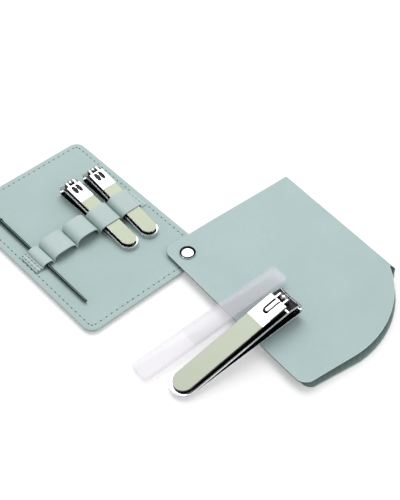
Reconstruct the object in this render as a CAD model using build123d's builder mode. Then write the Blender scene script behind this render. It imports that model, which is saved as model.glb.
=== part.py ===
from build123d import *
import os
from dataclasses import dataclass
from math import atan2, degrees

# Manicure set case: a folded leather cover, a tool card that swings out of it on a snap stud, a thin pick and
# two small nail clippers in the card's loops, and a large nail clipper and a glass file laid on the flap.
# Millimetres. The origin is the stud's axis where the case rests on the table. X runs along the cover's
# opening edge, Y towards the fold, Z up.

# --- Cover ---------------------------------------------------------------------------------------------
LEATHER = 0.6
LINING = 0.3
PANEL = LEATHER + LINING
LINING_INSET = 0.6

COVER_LEFT = 10.0  # stud axis to the cover's straight side edge
FLAP_FRONT = 8.6  # stud axis to the flap's opening edge
BACK_FRONT = 5.6  # stud axis to the back panel's opening edge: the flap overhangs it
SPINE_Y = 75.95  # stud axis to the middle of the fold
SPINE_LENGTH = 83.0
NOSE_FOOT = 98.0  # stud axis to the nose, at the opening edge
NOSE_SIDE = (100.2, 24.0)  # where the nose's round side starts
NOSE_TOP = (75.0, 71.8)  # where the round side ends, next to the fold
NOSE_SAGITTA = 7.0
COVER_CORNER = 5.5
FOLD_CORNER = 0.8

SPINE_HALF = PANEL / 2
CREASE_GAP = 0.1
PANEL_REAR = SPINE_Y - SPINE_HALF - CREASE_GAP

# --- Stack at the stud ---------------------------------------------------------------------------------
LAYER_GAP = 0.1
CARD_BOTTOM = PANEL + LAYER_GAP
CARD_LEATHER = 0.55
CARD_BOARD = 0.4
CARD_THICKNESS = 2 * CARD_LEATHER + CARD_BOARD
CARD_TOP = CARD_BOTTOM + CARD_THICKNESS
EYELET_FLANGE = 0.2
SOCKET_HEIGHT = 1.1
SOCKET_BOTTOM = CARD_TOP + EYELET_FLANGE + LAYER_GAP
FLAP_BOTTOM = SOCKET_BOTTOM + SOCKET_HEIGHT
FLAP_TOP = FLAP_BOTTOM + PANEL

# --- Snap ----------------------------------------------------------------------------------------------
CAP_RADIUS = 4.3
CAP_HEIGHT = 0.75
CAP_RIM = 0.7
CAP_SHANK_RADIUS = 1.3
SOCKET_RADIUS = 3.9
SOCKET_ROOF = 0.15
STUD_RADIUS = 2.0
STUD_NECK_RADIUS = 1.5
STUD_HEAD_RADIUS = 1.75
STUD_HEAD_HEIGHT = 0.7
SNAP_CLEARANCE = 0.1
WASHER_RADIUS = 4.0
WASHER_HEIGHT = 0.25
RIVET_HOLE = 0.02  # leather grips the rivet's shank with next to no clearance

# --- Tool card -----------------------------------------------------------------------------------------
CARD_LENGTH = 111.0
CARD_WIDTH = 78.5
CARD_CORNER = 5.5
CARD_YAW = 3.45  # how far past the cover's edge direction the card is swung
PIVOT_FROM_END = 6.0
PIVOT_FROM_SIDE = 10.6
BOARD_INSET = 4.5
BOARD_CLEARANCE = 0.1
STUD_CLEARANCE = 0.08
EYELET_WALL = 0.5
EYELET_FLANGE_RADIUS = 3.4
EYELET_ROLL_HEIGHT = 0.25
SEAM_INSET = 3.0
SEAM_WIDTH = 0.5
SEAM_DEPTH = 0.2  # its threads lie in a groove, level with the card
SEAM_STOP = 0.3

# --- Loop strap ----------------------------------------------------------------------------------------
STRAP_WIDTH = 15.5
STRAP = 0.6
STRAP_START = -35.8  # tab's end, across the card from its middle
TAB = 3.8
STRAP_FOOT = 3.6  # beyond the last loop
LOOP_FOOT = 0.8
LOOP_LEAN = 0.5
LOOP_ROUND = 1.4
LOOP_SIDE = STRAP + LOOP_FOOT / 2  # from a loop's end to its inside
EMPTY_LOOPS = ((14.9, 4.9), (14.5, 5.7))  # width and inner height of each
CLIPPER_ROOM = 1.8  # beside a clipper in its loop, both sides together
CLIPPER_HEADROOM = 0.4
PICK_ROOM = 3.2
PICK_HEADROOM = 0.2
TAB_ROWS = (0.8, 2.8)  # stitch rows, from the tab's end
TAB_STITCH = (2.2, 0.45, 0.2)
TAB_STITCH_COUNT = 5
TAB_STITCH_PITCH = 2.9

# --- Pick ----------------------------------------------------------------------------------------------
PICK_REACH = 39.3  # its flat end, past the strap's middle
PICK_SIDE = 1.0  # from the pick's shaft to its loop's side
PICK_SHAFT = 72.0
PICK_RADIUS = 1.0
PICK_TIP_RADIUS = 0.75
PICK_NECK = 9.0
PICK_NECK_RADIUS = 0.65
PICK_COLLAR_RADIUS = 1.35
PICK_SCOOP_RADIUS = 1.9
PICK_SCOOP_WALL = 0.45
TOOL_GAP = 0.05  # a tool's underside to what it lies on


# --- Nail clippers -------------------------------------------------------------------------------------
@dataclass(frozen=True)
class ClipperSize:
    """Sizes of one nail clipper, along its length from the tail, and up from its underside."""

    length: float
    tail_width: float
    head_width: float
    arm: float  # thickness of each arm
    arm_gap: float  # between the arms where they are riveted
    spread: float  # where the arms start to part
    knee: float  # where the upper arm levels out
    jaw_height: float
    jaw_plate: float
    jaw_gap: float
    jaw_hollow: float  # how far the cutting edges curve in
    lever_width: float
    lever: float
    lever_start: float
    lever_end: float
    lever_gap: float  # under the lever's tail
    lever_head_top: float
    fulcrum: tuple  # length, width and height of the boss pressed up at the lever's head
    inlay_end: float
    post_x: float
    post_radius: float
    post_top: float  # above its cross bar
    bar_height: float
    rivet_x: float

    @property
    def lever_tail_top(self):
        """Height of the lever's upper face at its tail, which clears both arms."""
        return 2 * self.arm + self.arm_gap + self.lever_gap + self.lever

    @property
    def lever_slope(self):
        """Rise of the lever for each millimetre towards the head."""
        return (self.lever_head_top - self.lever_tail_top) / (self.lever_end - self.lever_start)


LARGE = ClipperSize(
    length=75.3,
    tail_width=13.4,
    head_width=13.7,
    arm=1.3,
    arm_gap=0.15,
    spread=9.0,
    knee=67.0,
    jaw_height=8.0,
    jaw_plate=1.5,
    jaw_gap=1.4,
    jaw_hollow=0.5,
    lever_width=11.3,
    lever=1.1,
    lever_start=1.7,
    lever_end=66.8,
    lever_gap=0.3,
    lever_head_top=12.3,
    fulcrum=(9.5, 3.6, 0.5),
    inlay_end=52.0,
    post_x=69.7,
    post_radius=1.9,
    post_top=1.8,
    bar_height=10.6,
    rivet_x=5.0,
)
SMALL = ClipperSize(
    length=56.4,
    tail_width=9.9,
    head_width=10.2,
    arm=1.1,
    arm_gap=0.15,
    spread=7.0,
    knee=49.5,
    jaw_height=6.4,
    jaw_plate=1.3,
    jaw_gap=1.3,
    jaw_hollow=0.4,
    lever_width=8.6,
    lever=1.0,
    lever_start=1.1,
    lever_end=50.6,
    lever_gap=0.35,
    lever_head_top=9.0,
    fulcrum=(7.0, 2.8, 0.4),
    inlay_end=38.8,
    post_x=53.1,
    post_radius=1.5,
    post_top=1.4,
    bar_height=7.9,
    rivet_x=4.0,
)
RIVET_RADIUS = 1.2
RIVET_HEAD = 0.8
RIVET_HEAD_HEIGHT = 0.45
RIVET_CLEARANCE = 0.1
POST_CLEARANCE = 0.06
POST_SWING_CLEARANCE = 0.5
POST_HEAD = 1.0
POST_HEAD_HEIGHT = 0.5
POST_DOME = 0.6  # of the post's radius is taken off its top edge
BAR_RADIUS = 0.85
BAR_CLEARANCE = 0.07
FULCRUM_INSET = 0.4
EAR = 1.1
EAR_GAP = 0.15
EAR_WALL = 0.55
INLAY = 0.4
INLAY_DEPTH = 0.3
INLAY_INSET = 0.3
BEND = 12.0
JAW_OUTER = 1.6
JAW_INNER = 0.6

SMALL_A_REACH = 27.8  # the tail, past the strap's middle
SMALL_A_TURN = 0.45
SMALL_B_REACH = 28.3
SMALL_B_TURN = -1.8
LARGE_TAIL = (61.3, -56.65)
LARGE_YAW = 91.0

# --- Glass file ----------------------------------------------------------------------------------------
FILE_LENGTH = 89.7
FILE_WIDTH = 11.4
FILE_THICKNESS = 3.0
FILE_CORNER = 2.6
FILE_EDGE = 0.7
FILE_TAIL = (42.7, -63.1)
FILE_YAW = 90.2
ETCH_START = 31.0
ETCH_END = 87.5
ETCH_DEPTH = 0.1
ETCH_INSET = 1.0
REST_GAP = 0.1  # a laid tool's underside above the flap's edge


def placed(base, x=0.0, y=0.0, z=0.0, yaw=0.0, pitch=0.0):
    """A plane at (x, y, z) on base, turned by yaw about its normal, then with its X axis raised by pitch."""
    return Plane(base.location * Pos(x, y, z) * Rot(0, 0, yaw) * Rot(0, -pitch, 0))


def side_of(base):
    """The upright plane through base's X axis: its sketches run along base and up."""
    return Plane(base.location * Rot(90, 0, 0))


def end_of(base):
    """The upright plane through base's Y axis: its sketches run across base and up."""
    return Plane(base.location * Rot(0, 0, 90) * Rot(90, 0, 0))


def finish(part, name):
    """Labels a finished piece and writes it."""
    part.label = name
    export_step(part, f"parts/{name}.step")


def panel_outline(front, inset=0.0):
    """A cover panel's outline. Its opening edge lies front millimetres before the stud."""
    with BuildSketch() as outline:
        with BuildLine():
            Polyline((NOSE_FOOT, -front), (-COVER_LEFT, -front), (-COVER_LEFT, PANEL_REAR))
            Polyline((-COVER_LEFT, PANEL_REAR), (SPINE_LENGTH - COVER_LEFT, PANEL_REAR), NOSE_TOP)
            SagittaArc(NOSE_TOP, NOSE_SIDE, NOSE_SAGITTA)
            Line(NOSE_SIDE, (NOSE_FOOT, -front))
        make_face()
        fillet(outline.vertices().sort_by_distance((-COVER_LEFT, -front))[0], radius=COVER_CORNER)
        fillet(outline.vertices().sort_by_distance((NOSE_FOOT, -front))[0], radius=COVER_CORNER)
        fillet(outline.vertices().sort_by_distance((-COVER_LEFT, PANEL_REAR))[0], radius=FOLD_CORNER)
        offset(amount=-inset)
    return outline.sketch


os.makedirs("parts", exist_ok=True)

# --- Back panel ----------------------------------------------------------------------------------------
with BuildPart() as back_leather:
    with BuildSketch(Plane.XY):
        add(panel_outline(BACK_FRONT))
    extrude(amount=LEATHER)
    with BuildSketch(Plane.XY):
        Circle(WASHER_RADIUS + RIVET_HOLE)
    extrude(amount=WASHER_HEIGHT, mode=Mode.SUBTRACT)
    Hole(STUD_NECK_RADIUS + RIVET_HOLE)
finish(back_leather.part, "back_leather")

with BuildPart() as back_lining:
    with BuildSketch(Plane.XY.offset(LEATHER)):
        add(panel_outline(BACK_FRONT, LINING_INSET))
    extrude(amount=LINING)
    Hole(STUD_NECK_RADIUS + RIVET_HOLE)
finish(back_lining.part, "back_lining")

# --- Fold ----------------------------------------------------------------------------------------------
BACK_CREASE = PANEL / 2
FLAP_CREASE = FLAP_TOP - PANEL / 2
with BuildPart() as spine_strip:
    with BuildSketch(Plane.YZ.offset(-COVER_LEFT)):
        with Locations((SPINE_Y, (BACK_CREASE + FLAP_CREASE) / 2)):
            SlotCenterToCenter(FLAP_CREASE - BACK_CREASE, 2 * SPINE_HALF, rotation=90)
    extrude(amount=SPINE_LENGTH)
finish(spine_strip.part, "spine_strip")

# --- Flap ----------------------------------------------------------------------------------------------
with BuildPart() as flap_leather:
    with BuildSketch(Plane.XY.offset(FLAP_BOTTOM + LINING)):
        add(panel_outline(FLAP_FRONT))
        Circle(CAP_SHANK_RADIUS + RIVET_HOLE, mode=Mode.SUBTRACT)
    extrude(amount=LEATHER)
finish(flap_leather.part, "flap_leather")

with BuildPart() as flap_lining:
    with BuildSketch(Plane.XY.offset(FLAP_BOTTOM)):
        add(panel_outline(FLAP_FRONT, LINING_INSET))
        Circle(CAP_SHANK_RADIUS + RIVET_HOLE, mode=Mode.SUBTRACT)
    extrude(amount=LINING)
finish(flap_lining.part, "flap_lining")

# --- Snap ----------------------------------------------------------------------------------------------
with BuildPart() as snap_cap:
    with BuildSketch(Plane.XZ):
        with BuildLine():
            Polyline((0, FLAP_TOP + CAP_HEIGHT / 2), (0, FLAP_BOTTOM), (CAP_SHANK_RADIUS, FLAP_BOTTOM))
            Polyline((CAP_SHANK_RADIUS, FLAP_BOTTOM), (CAP_SHANK_RADIUS, FLAP_TOP), (CAP_RADIUS, FLAP_TOP))
            ThreePointArc(
                (CAP_RADIUS, FLAP_TOP),
                (CAP_RADIUS - CAP_RIM / 2, FLAP_TOP + CAP_HEIGHT),
                (CAP_RADIUS - CAP_RIM * 1.5, FLAP_TOP + CAP_HEIGHT / 2),
            )
            Line((CAP_RADIUS - CAP_RIM * 1.5, FLAP_TOP + CAP_HEIGHT / 2), (0, FLAP_TOP + CAP_HEIGHT / 2))
        make_face()
    revolve(axis=Axis.Z)
finish(snap_cap.part, "snap_cap")

with BuildPart() as snap_socket:
    with BuildSketch(Plane.XY.offset(SOCKET_BOTTOM)):
        Circle(SOCKET_RADIUS)
    extrude(amount=SOCKET_HEIGHT)
    fillet(snap_socket.edges().group_by(Axis.Z)[0], radius=LAYER_GAP * 3)
    with BuildSketch(Plane.XY.offset(SOCKET_BOTTOM)):
        Circle(STUD_HEAD_RADIUS + SNAP_CLEARANCE)
    extrude(amount=SOCKET_HEIGHT - SOCKET_ROOF, mode=Mode.SUBTRACT)
finish(snap_socket.part, "snap_socket")

STUD_SHOULDER = CARD_TOP + EYELET_FLANGE
STUD_TOP = SOCKET_BOTTOM + SOCKET_HEIGHT - SOCKET_ROOF - SNAP_CLEARANCE
with BuildPart() as snap_stud:
    with BuildSketch(Plane.XY.offset(WASHER_HEIGHT)):
        Circle(STUD_NECK_RADIUS)
    extrude(amount=PANEL - WASHER_HEIGHT)
    with BuildSketch(Plane.XY.offset(PANEL)):
        Circle(STUD_RADIUS)
    extrude(amount=STUD_SHOULDER - PANEL)
    with BuildSketch(Plane.XY.offset(STUD_SHOULDER)):
        Circle(STUD_NECK_RADIUS)
    extrude(amount=STUD_TOP - STUD_SHOULDER)
    with BuildSketch(Plane.XY.offset(STUD_TOP - STUD_HEAD_HEIGHT)):
        Circle(STUD_HEAD_RADIUS)
    extrude(amount=STUD_HEAD_HEIGHT)
    fillet(snap_stud.edges().group_by(Axis.Z)[-1], radius=STUD_HEAD_HEIGHT / 2)
finish(snap_stud.part, "snap_stud")

with BuildPart() as stud_washer:
    with BuildSketch(Plane.XY):
        Circle(WASHER_RADIUS)
    extrude(amount=WASHER_HEIGHT)
finish(stud_washer.part, "stud_washer")

# --- Tool card -----------------------------------------------------------------------------------------
PIVOT_U = CARD_LENGTH / 2 - PIVOT_FROM_END
PIVOT_V = CARD_WIDTH / 2 - PIVOT_FROM_SIDE
card_middle = Plane.XY.offset(CARD_BOTTOM).location * Rot(0, 0, CARD_YAW) * Pos(-PIVOT_U, -PIVOT_V, 0)
card_bottom = Plane(card_middle)
card_top = card_bottom.offset(CARD_THICKNESS)
EYELET_OUTER = STUD_RADIUS + STUD_CLEARANCE + EYELET_WALL
PIVOT = (PIVOT_U, PIVOT_V)

with BuildPart() as card_back:
    with BuildSketch(card_bottom):
        RectangleRounded(CARD_LENGTH, CARD_WIDTH, CARD_CORNER)
        with Locations(PIVOT):
            Circle(EYELET_OUTER + RIVET_HOLE, mode=Mode.SUBTRACT)
    extrude(amount=CARD_LEATHER + CARD_BOARD)
    with BuildSketch(card_bottom.offset(CARD_LEATHER)):
        RectangleRounded(CARD_LENGTH - 2 * BOARD_INSET, CARD_WIDTH - 2 * BOARD_INSET, CARD_CORNER)
        with Locations(PIVOT):
            Circle(EYELET_FLANGE_RADIUS, mode=Mode.SUBTRACT)
    extrude(amount=CARD_BOARD, mode=Mode.SUBTRACT)
    with BuildSketch(card_bottom):
        with Locations(PIVOT):
            Circle(EYELET_FLANGE_RADIUS + RIVET_HOLE)
    extrude(amount=EYELET_ROLL_HEIGHT, mode=Mode.SUBTRACT)
finish(card_back.part, "card_back")

with BuildPart() as card_board:
    with BuildSketch(card_bottom.offset(CARD_LEATHER)):
        inset = BOARD_INSET + BOARD_CLEARANCE
        RectangleRounded(CARD_LENGTH - 2 * inset, CARD_WIDTH - 2 * inset, CARD_CORNER)
        with Locations(PIVOT):
            Circle(EYELET_FLANGE_RADIUS + BOARD_CLEARANCE, mode=Mode.SUBTRACT)
    extrude(amount=CARD_BOARD)
finish(card_board.part, "card_board")

SEAM_OUTER = SEAM_INSET - SEAM_WIDTH / 2
SEAM_INNER = SEAM_INSET + SEAM_WIDTH / 2
with BuildPart() as card_seam:
    with BuildSketch(card_top):
        RectangleRounded(CARD_LENGTH - 2 * SEAM_OUTER, CARD_WIDTH - 2 * SEAM_OUTER, CARD_CORNER - SEAM_OUTER)
        RectangleRounded(
            CARD_LENGTH - 2 * SEAM_INNER,
            CARD_WIDTH - 2 * SEAM_INNER,
            CARD_CORNER - SEAM_INNER,
            mode=Mode.SUBTRACT,
        )
        with Locations(PIVOT):
            Circle(EYELET_FLANGE_RADIUS + SEAM_STOP, mode=Mode.SUBTRACT)
    extrude(amount=-SEAM_DEPTH)
finish(card_seam.part, "card_seam")

with BuildPart() as card_front:
    with BuildSketch(card_bottom.offset(CARD_LEATHER + CARD_BOARD)):
        RectangleRounded(CARD_LENGTH, CARD_WIDTH, CARD_CORNER)
        with Locations(PIVOT):
            Circle(EYELET_OUTER + RIVET_HOLE, mode=Mode.SUBTRACT)
    extrude(amount=CARD_LEATHER)
    add(card_seam.part, mode=Mode.SUBTRACT)
finish(card_front.part, "card_front")

with BuildPart() as card_eyelet:
    with BuildSketch(card_bottom):
        with Locations(PIVOT):
            Circle(EYELET_OUTER)
    extrude(amount=CARD_THICKNESS)
    for level, height in ((card_bottom, EYELET_ROLL_HEIGHT), (card_top, EYELET_FLANGE)):
        with BuildSketch(level):
            with Locations(PIVOT):
                Circle(EYELET_FLANGE_RADIUS)
        extrude(amount=height)
    with BuildSketch(card_bottom):
        with Locations(PIVOT):
            Circle(STUD_RADIUS + STUD_CLEARANCE)
    extrude(amount=CARD_THICKNESS + EYELET_FLANGE, mode=Mode.SUBTRACT)
finish(card_eyelet.part, "card_eyelet")


# --- Loop strap ----------------------------------------------------------------------------------------
def loop_face(start, end, inner_height, grow):
    """One loop's section, grown outwards by grow from its inner face, with rounded shoulders."""
    left = start + LOOP_FOOT / 2 + STRAP - grow
    right = end - LOOP_FOOT / 2 - STRAP + grow
    top = inner_height + grow
    shoulder = min(LOOP_ROUND, inner_height / 2) + grow
    with BuildSketch() as section:
        Polygon((left, 0), (right, 0), (right - LOOP_LEAN, top), (left + LOOP_LEAN, top), align=None)
        fillet(section.vertices().group_by(Axis.Y)[-1], radius=shoulder)
    return section.sketch


def clipper_height(size, x):
    """Height of a clipper's lever at x, above what the clipper lies on."""
    return size.lever_tail_top + size.lever_slope * (x - size.lever_start)


strap_reach = max(SMALL_A_REACH, SMALL_B_REACH) + STRAP_WIDTH / 2
PICK_LOOP = (2 * (LOOP_SIDE + PICK_RADIUS) + PICK_ROOM, PICK_COLLAR_RADIUS + PICK_RADIUS + PICK_HEADROOM)
CLIPPER_LOOP = (
    2 * LOOP_SIDE + SMALL.head_width + CLIPPER_ROOM,
    clipper_height(SMALL, strap_reach) + CLIPPER_HEADROOM,
)
loops = []
loop_start = STRAP_START + TAB
for loop_width, loop_height in (PICK_LOOP, *EMPTY_LOOPS, CLIPPER_LOOP, CLIPPER_LOOP):
    loops.append((loop_start, loop_start + loop_width, loop_height))
    loop_start += loop_width
STRAP_END = loop_start + STRAP_FOOT

with BuildPart() as loop_strap:
    with BuildSketch(end_of(card_top)):
        with Locations(((STRAP_START + STRAP_END) / 2, STRAP / 2)):
            Rectangle(STRAP_END - STRAP_START, STRAP)
        for start, end, height in loops:
            add(loop_face(start, end, height, STRAP))
        for start, end, height in loops:
            add(loop_face(start, end, height, 0), mode=Mode.SUBTRACT)
        with Locations((STRAP_START + TAB / 2, STRAP)):
            Rectangle(TAB, 2 * STRAP)
    extrude(amount=STRAP_WIDTH / 2, both=True)
finish(loop_strap.part, "loop_strap")

with BuildPart() as strap_seam:
    with BuildSketch(card_top.offset(2 * STRAP)):
        for row in TAB_ROWS:
            with Locations((0, STRAP_START + row)):
                with GridLocations(TAB_STITCH_PITCH, 0, TAB_STITCH_COUNT, 1):
                    SlotOverall(TAB_STITCH[0], TAB_STITCH[1])
    extrude(amount=TAB_STITCH[2])
finish(strap_seam.part, "strap_seam")

# --- Pick ----------------------------------------------------------------------------------------------
pick_line = loops[0][0] + LOOP_SIDE + PICK_SIDE + PICK_RADIUS
pick_tip = placed(card_top, PICK_REACH, pick_line, PICK_COLLAR_RADIUS + TOOL_GAP, yaw=180)
pick_axis = Axis(pick_tip.origin, pick_tip.x_dir)
with BuildPart() as pick_shaft:
    with BuildSketch(pick_tip):
        with BuildLine():
            Polyline((PICK_SHAFT, 0), (0, 0), (0, PICK_TIP_RADIUS / 2))
            Polyline((0, PICK_TIP_RADIUS / 2), (PICK_TIP_RADIUS, PICK_TIP_RADIUS))
            Polyline((PICK_TIP_RADIUS, PICK_TIP_RADIUS), (PICK_SHAFT, PICK_RADIUS), (PICK_SHAFT, 0))
        make_face()
    revolve(axis=pick_axis)
finish(pick_shaft.part, "pick_shaft")

with BuildPart() as pick_head:
    with BuildSketch(placed(pick_tip, PICK_SHAFT)):
        with BuildLine():
            Polyline((0, 0), (0, PICK_COLLAR_RADIUS), (PICK_COLLAR_RADIUS, PICK_COLLAR_RADIUS))
            Polyline(
                (PICK_COLLAR_RADIUS, PICK_COLLAR_RADIUS),
                (2 * PICK_COLLAR_RADIUS, PICK_NECK_RADIUS),
                (PICK_NECK, PICK_NECK_RADIUS),
                (PICK_NECK, 0),
                (0, 0),
            )
        make_face()
    revolve(axis=pick_axis)
    fillet(pick_head.edges().filter_by(GeomType.CIRCLE).sort_by(SortBy.RADIUS)[-2:], radius=0.3)
    scoop = placed(pick_tip, PICK_SHAFT + PICK_NECK + PICK_SCOOP_RADIUS * 0.7, z=PICK_SCOOP_RADIUS * 0.45)
    with Locations(scoop):
        Sphere(PICK_SCOOP_RADIUS)
    with Locations(scoop):
        Sphere(PICK_SCOOP_RADIUS - PICK_SCOOP_WALL, mode=Mode.SUBTRACT)
        Box(
            3 * PICK_SCOOP_RADIUS,
            3 * PICK_SCOOP_RADIUS,
            2 * PICK_SCOOP_RADIUS,
            align=(Align.CENTER, Align.CENTER, Align.MIN),
            mode=Mode.SUBTRACT,
        )
finish(pick_head.part, "pick_head")


# --- Nail clippers -------------------------------------------------------------------------------------
def plan_face(size):
    """A clipper's outline from above: round tail, straight sides, cutting edge curved slightly in."""
    tail = size.tail_width / 2
    head = size.head_width / 2
    with BuildSketch() as outline:
        with BuildLine():
            ThreePointArc((tail, tail), (0, 0), (tail, -tail))
            Line((tail, -tail), (size.length, -head))
            SagittaArc((size.length, -head), (size.length, head), size.jaw_hollow)
            Line((size.length, head), (tail, tail))
        make_face()
    return outline.sketch


def lever_face(size, inset, end):
    """A lever's outline from above: round tail, square end."""
    half = size.lever_width / 2 - inset
    round_x = size.lever_width / 2
    with BuildSketch() as outline:
        with BuildLine():
            ThreePointArc((round_x, half), (round_x - half, 0), (round_x, -half))
            Polyline((round_x, -half), (end, -half), (end, half), (round_x, half))
        make_face()
    return outline.sketch


def lower_arm(size, base, name):
    """The arm that lies underneath, with its jaw turned up."""
    cut = (size.jaw_height - size.jaw_gap) / 2
    inside = size.length - size.jaw_plate
    with BuildPart() as arm:
        with BuildSketch(side_of(base)) as profile:
            Polygon(
                (0, 0),
                (size.length, 0),
                (size.length, cut),
                (inside, cut),
                (inside, size.arm),
                (0, size.arm),
                align=None,
            )
            for corner, radius in (((size.length, 0), JAW_OUTER), ((inside, size.arm), JAW_INNER)):
                fillet(profile.vertices().sort_by_distance(corner)[0], radius=radius)
        extrude(amount=size.head_width, both=True)
        with BuildSketch(base):
            add(plan_face(size))
        extrude(amount=size.jaw_height, mode=Mode.INTERSECT)
        with BuildSketch(base):
            with Locations((size.rivet_x, 0)):
                Circle(RIVET_RADIUS + RIVET_HOLE)
            with Locations((size.post_x, 0)):
                Circle(size.post_radius + POST_CLEARANCE)
        extrude(amount=size.arm, mode=Mode.SUBTRACT)
        with BuildSketch(base):
            with Locations((size.rivet_x, 0)):
                Circle(RIVET_RADIUS + RIVET_HEAD + RIVET_HOLE)
        extrude(amount=RIVET_HEAD_HEIGHT, mode=Mode.SUBTRACT)
        with BuildSketch(base):
            with Locations((size.post_x, 0)):
                Circle(size.post_radius + POST_HEAD + POST_CLEARANCE)
        extrude(amount=POST_HEAD_HEIGHT + POST_CLEARANCE, mode=Mode.SUBTRACT)
    finish(arm.part, name)


def upper_arm(size, base, name):
    """The arm that springs up from the tail to the head, with its jaw turned down."""
    low = size.arm + size.arm_gap
    top = low + size.arm
    under_head = size.jaw_height - size.arm
    cut = (size.jaw_height + size.jaw_gap) / 2
    inside = size.length - size.jaw_plate
    bends = (
        ((size.length, size.jaw_height), JAW_OUTER),
        ((inside, under_head), JAW_INNER),
        ((size.spread, low), BEND),
        ((size.spread, top), BEND),
        ((size.knee, size.jaw_height), BEND),
        ((size.knee, under_head), BEND),
    )
    with BuildPart() as arm:
        with BuildSketch(side_of(base)) as profile:
            Polygon(
                (0, low),
                (size.spread, low),
                (size.knee, under_head),
                (inside, under_head),
                (inside, cut),
                (size.length, cut),
                (size.length, size.jaw_height),
                (size.knee, size.jaw_height),
                (size.spread, top),
                (0, top),
                align=None,
            )
            for corner, radius in bends:
                fillet(profile.vertices().sort_by_distance(corner)[0], radius=radius)
        extrude(amount=size.head_width, both=True)
        with BuildSketch(base):
            add(plan_face(size))
        extrude(amount=size.jaw_height, mode=Mode.INTERSECT)
        with BuildSketch(base):
            with Locations((size.rivet_x, 0)):
                Circle(RIVET_RADIUS + RIVET_CLEARANCE)
            with Locations((size.post_x, 0)):
                Circle(size.post_radius + POST_SWING_CLEARANCE)
        extrude(amount=size.jaw_height, mode=Mode.SUBTRACT)
        with BuildSketch(base.offset(top - RIVET_HEAD_HEIGHT)):
            with Locations((size.rivet_x, 0)):
                Circle(RIVET_RADIUS + RIVET_HEAD + RIVET_CLEARANCE)
        extrude(amount=RIVET_HEAD_HEIGHT, mode=Mode.SUBTRACT)
    finish(arm.part, name)


def tail_rivet(size, base, name):
    """Rivet through both arms at the tail, level with them on both sides."""
    top = 2 * size.arm + size.arm_gap - RIVET_CLEARANCE / 2
    upper_head = RIVET_HEAD_HEIGHT - RIVET_CLEARANCE
    with BuildPart() as rivet:
        with BuildSketch(base):
            with Locations((size.rivet_x, 0)):
                Circle(RIVET_RADIUS + RIVET_HEAD)
        extrude(amount=RIVET_HEAD_HEIGHT)
        with BuildSketch(base):
            with Locations((size.rivet_x, 0)):
                Circle(RIVET_RADIUS)
        extrude(amount=top)
        with BuildSketch(base.offset(top - upper_head)):
            with Locations((size.rivet_x, 0)):
                Circle(RIVET_RADIUS + RIVET_HEAD)
        extrude(amount=upper_head)
    finish(rivet.part, name)


def post(size, base, name):
    """The post that holds the jaws, with its head under the lower arm and a cross bar for the lever."""
    half_bar = size.post_radius + EAR_GAP + EAR + EAR_GAP
    with BuildPart() as pin:
        with BuildSketch(base):
            with Locations((size.post_x, 0)):
                Circle(size.post_radius + POST_HEAD)
        extrude(amount=POST_HEAD_HEIGHT)
        with BuildSketch(base):
            with Locations((size.post_x, 0)):
                Circle(size.post_radius)
        extrude(amount=size.bar_height + size.post_top)
        top_edge = pin.edges().group_by(Axis(base.origin, base.z_dir))[-1]
        fillet(top_edge, radius=POST_DOME * size.post_radius)
        with BuildSketch(side_of(base)):
            with Locations((size.post_x, size.bar_height)):
                Circle(BAR_RADIUS)
        extrude(amount=half_bar, both=True)
    finish(pin.part, name)


def lever_plane(size, base):
    """Plane of the lever's underside, which climbs towards the post. Its X starts at the lever's tail."""
    pitch = degrees(atan2(size.lever_slope, 1))
    return placed(base, size.lever_start, z=size.lever_tail_top - size.lever, pitch=pitch)


def lever(size, base, name):
    """The lever: a flat plate with a shallow recess for its inlay, and two ears round the cross bar."""
    plate = lever_plane(size, base)
    ear_inside = size.post_radius + EAR_GAP
    ear_radius = BAR_RADIUS + BAR_CLEARANCE + EAR_WALL
    plate_end = size.lever_end - size.lever_start
    boss_length, boss_width, boss_height = size.fulcrum
    with BuildPart() as arm:
        with BuildSketch(plate):
            add(lever_face(size, 0, plate_end))
        extrude(amount=size.lever)
        with BuildSketch(plate.offset(size.lever)):
            with Locations((plate_end - boss_length / 2 - FULCRUM_INSET, 0)):
                SlotOverall(boss_length, boss_width)
        extrude(amount=boss_height)
        fillet(arm.faces().sort_by(Axis(plate.origin, plate.z_dir))[-1].edges(), radius=boss_height * 0.8)
        for side in (-1, 1):
            with BuildSketch(side_of(base).offset(side * (ear_inside + EAR / 2))):
                with Locations((size.post_x, size.bar_height)):
                    Circle(ear_radius)
                with Locations((size.lever_end - size.lever, size.lever_head_top - size.lever)):
                    Circle(size.lever / 2)
                make_hull()
            extrude(amount=EAR / 2, both=True)
        with BuildSketch(side_of(base)):
            with Locations((size.post_x, size.bar_height)):
                Circle(BAR_RADIUS + BAR_CLEARANCE)
        extrude(amount=size.lever_width, both=True, mode=Mode.SUBTRACT)
        with BuildSketch(plate.offset(size.lever - INLAY_DEPTH)):
            add(lever_face(size, INLAY_INSET, size.inlay_end - size.lever_start))
        extrude(amount=INLAY, mode=Mode.SUBTRACT)
    finish(arm.part, name)


def lever_inlay(size, base, name):
    """The coloured inlay over the lever's handle end."""
    plate = lever_plane(size, base)
    with BuildPart() as inlay:
        with BuildSketch(plate.offset(size.lever - INLAY_DEPTH)):
            add(lever_face(size, INLAY_INSET, size.inlay_end - size.lever_start))
        extrude(amount=INLAY)
    finish(inlay.part, name)


def clipper(size, base, prefix):
    """All six pieces of one nail clipper, standing on base with its tail at base's origin."""
    lower_arm(size, base, f"{prefix}_lower_arm")
    upper_arm(size, base, f"{prefix}_upper_arm")
    tail_rivet(size, base, f"{prefix}_rivet")
    post(size, base, f"{prefix}_post")
    lever(size, base, f"{prefix}_lever")
    lever_inlay(size, base, f"{prefix}_inlay")


def laid_pitch(tail):
    """Pitch of a tool whose tail is on the table and whose underside just clears the flap's opening edge."""
    return degrees(atan2(FLAP_TOP + REST_GAP, -FLAP_FRONT - tail[1]))


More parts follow.
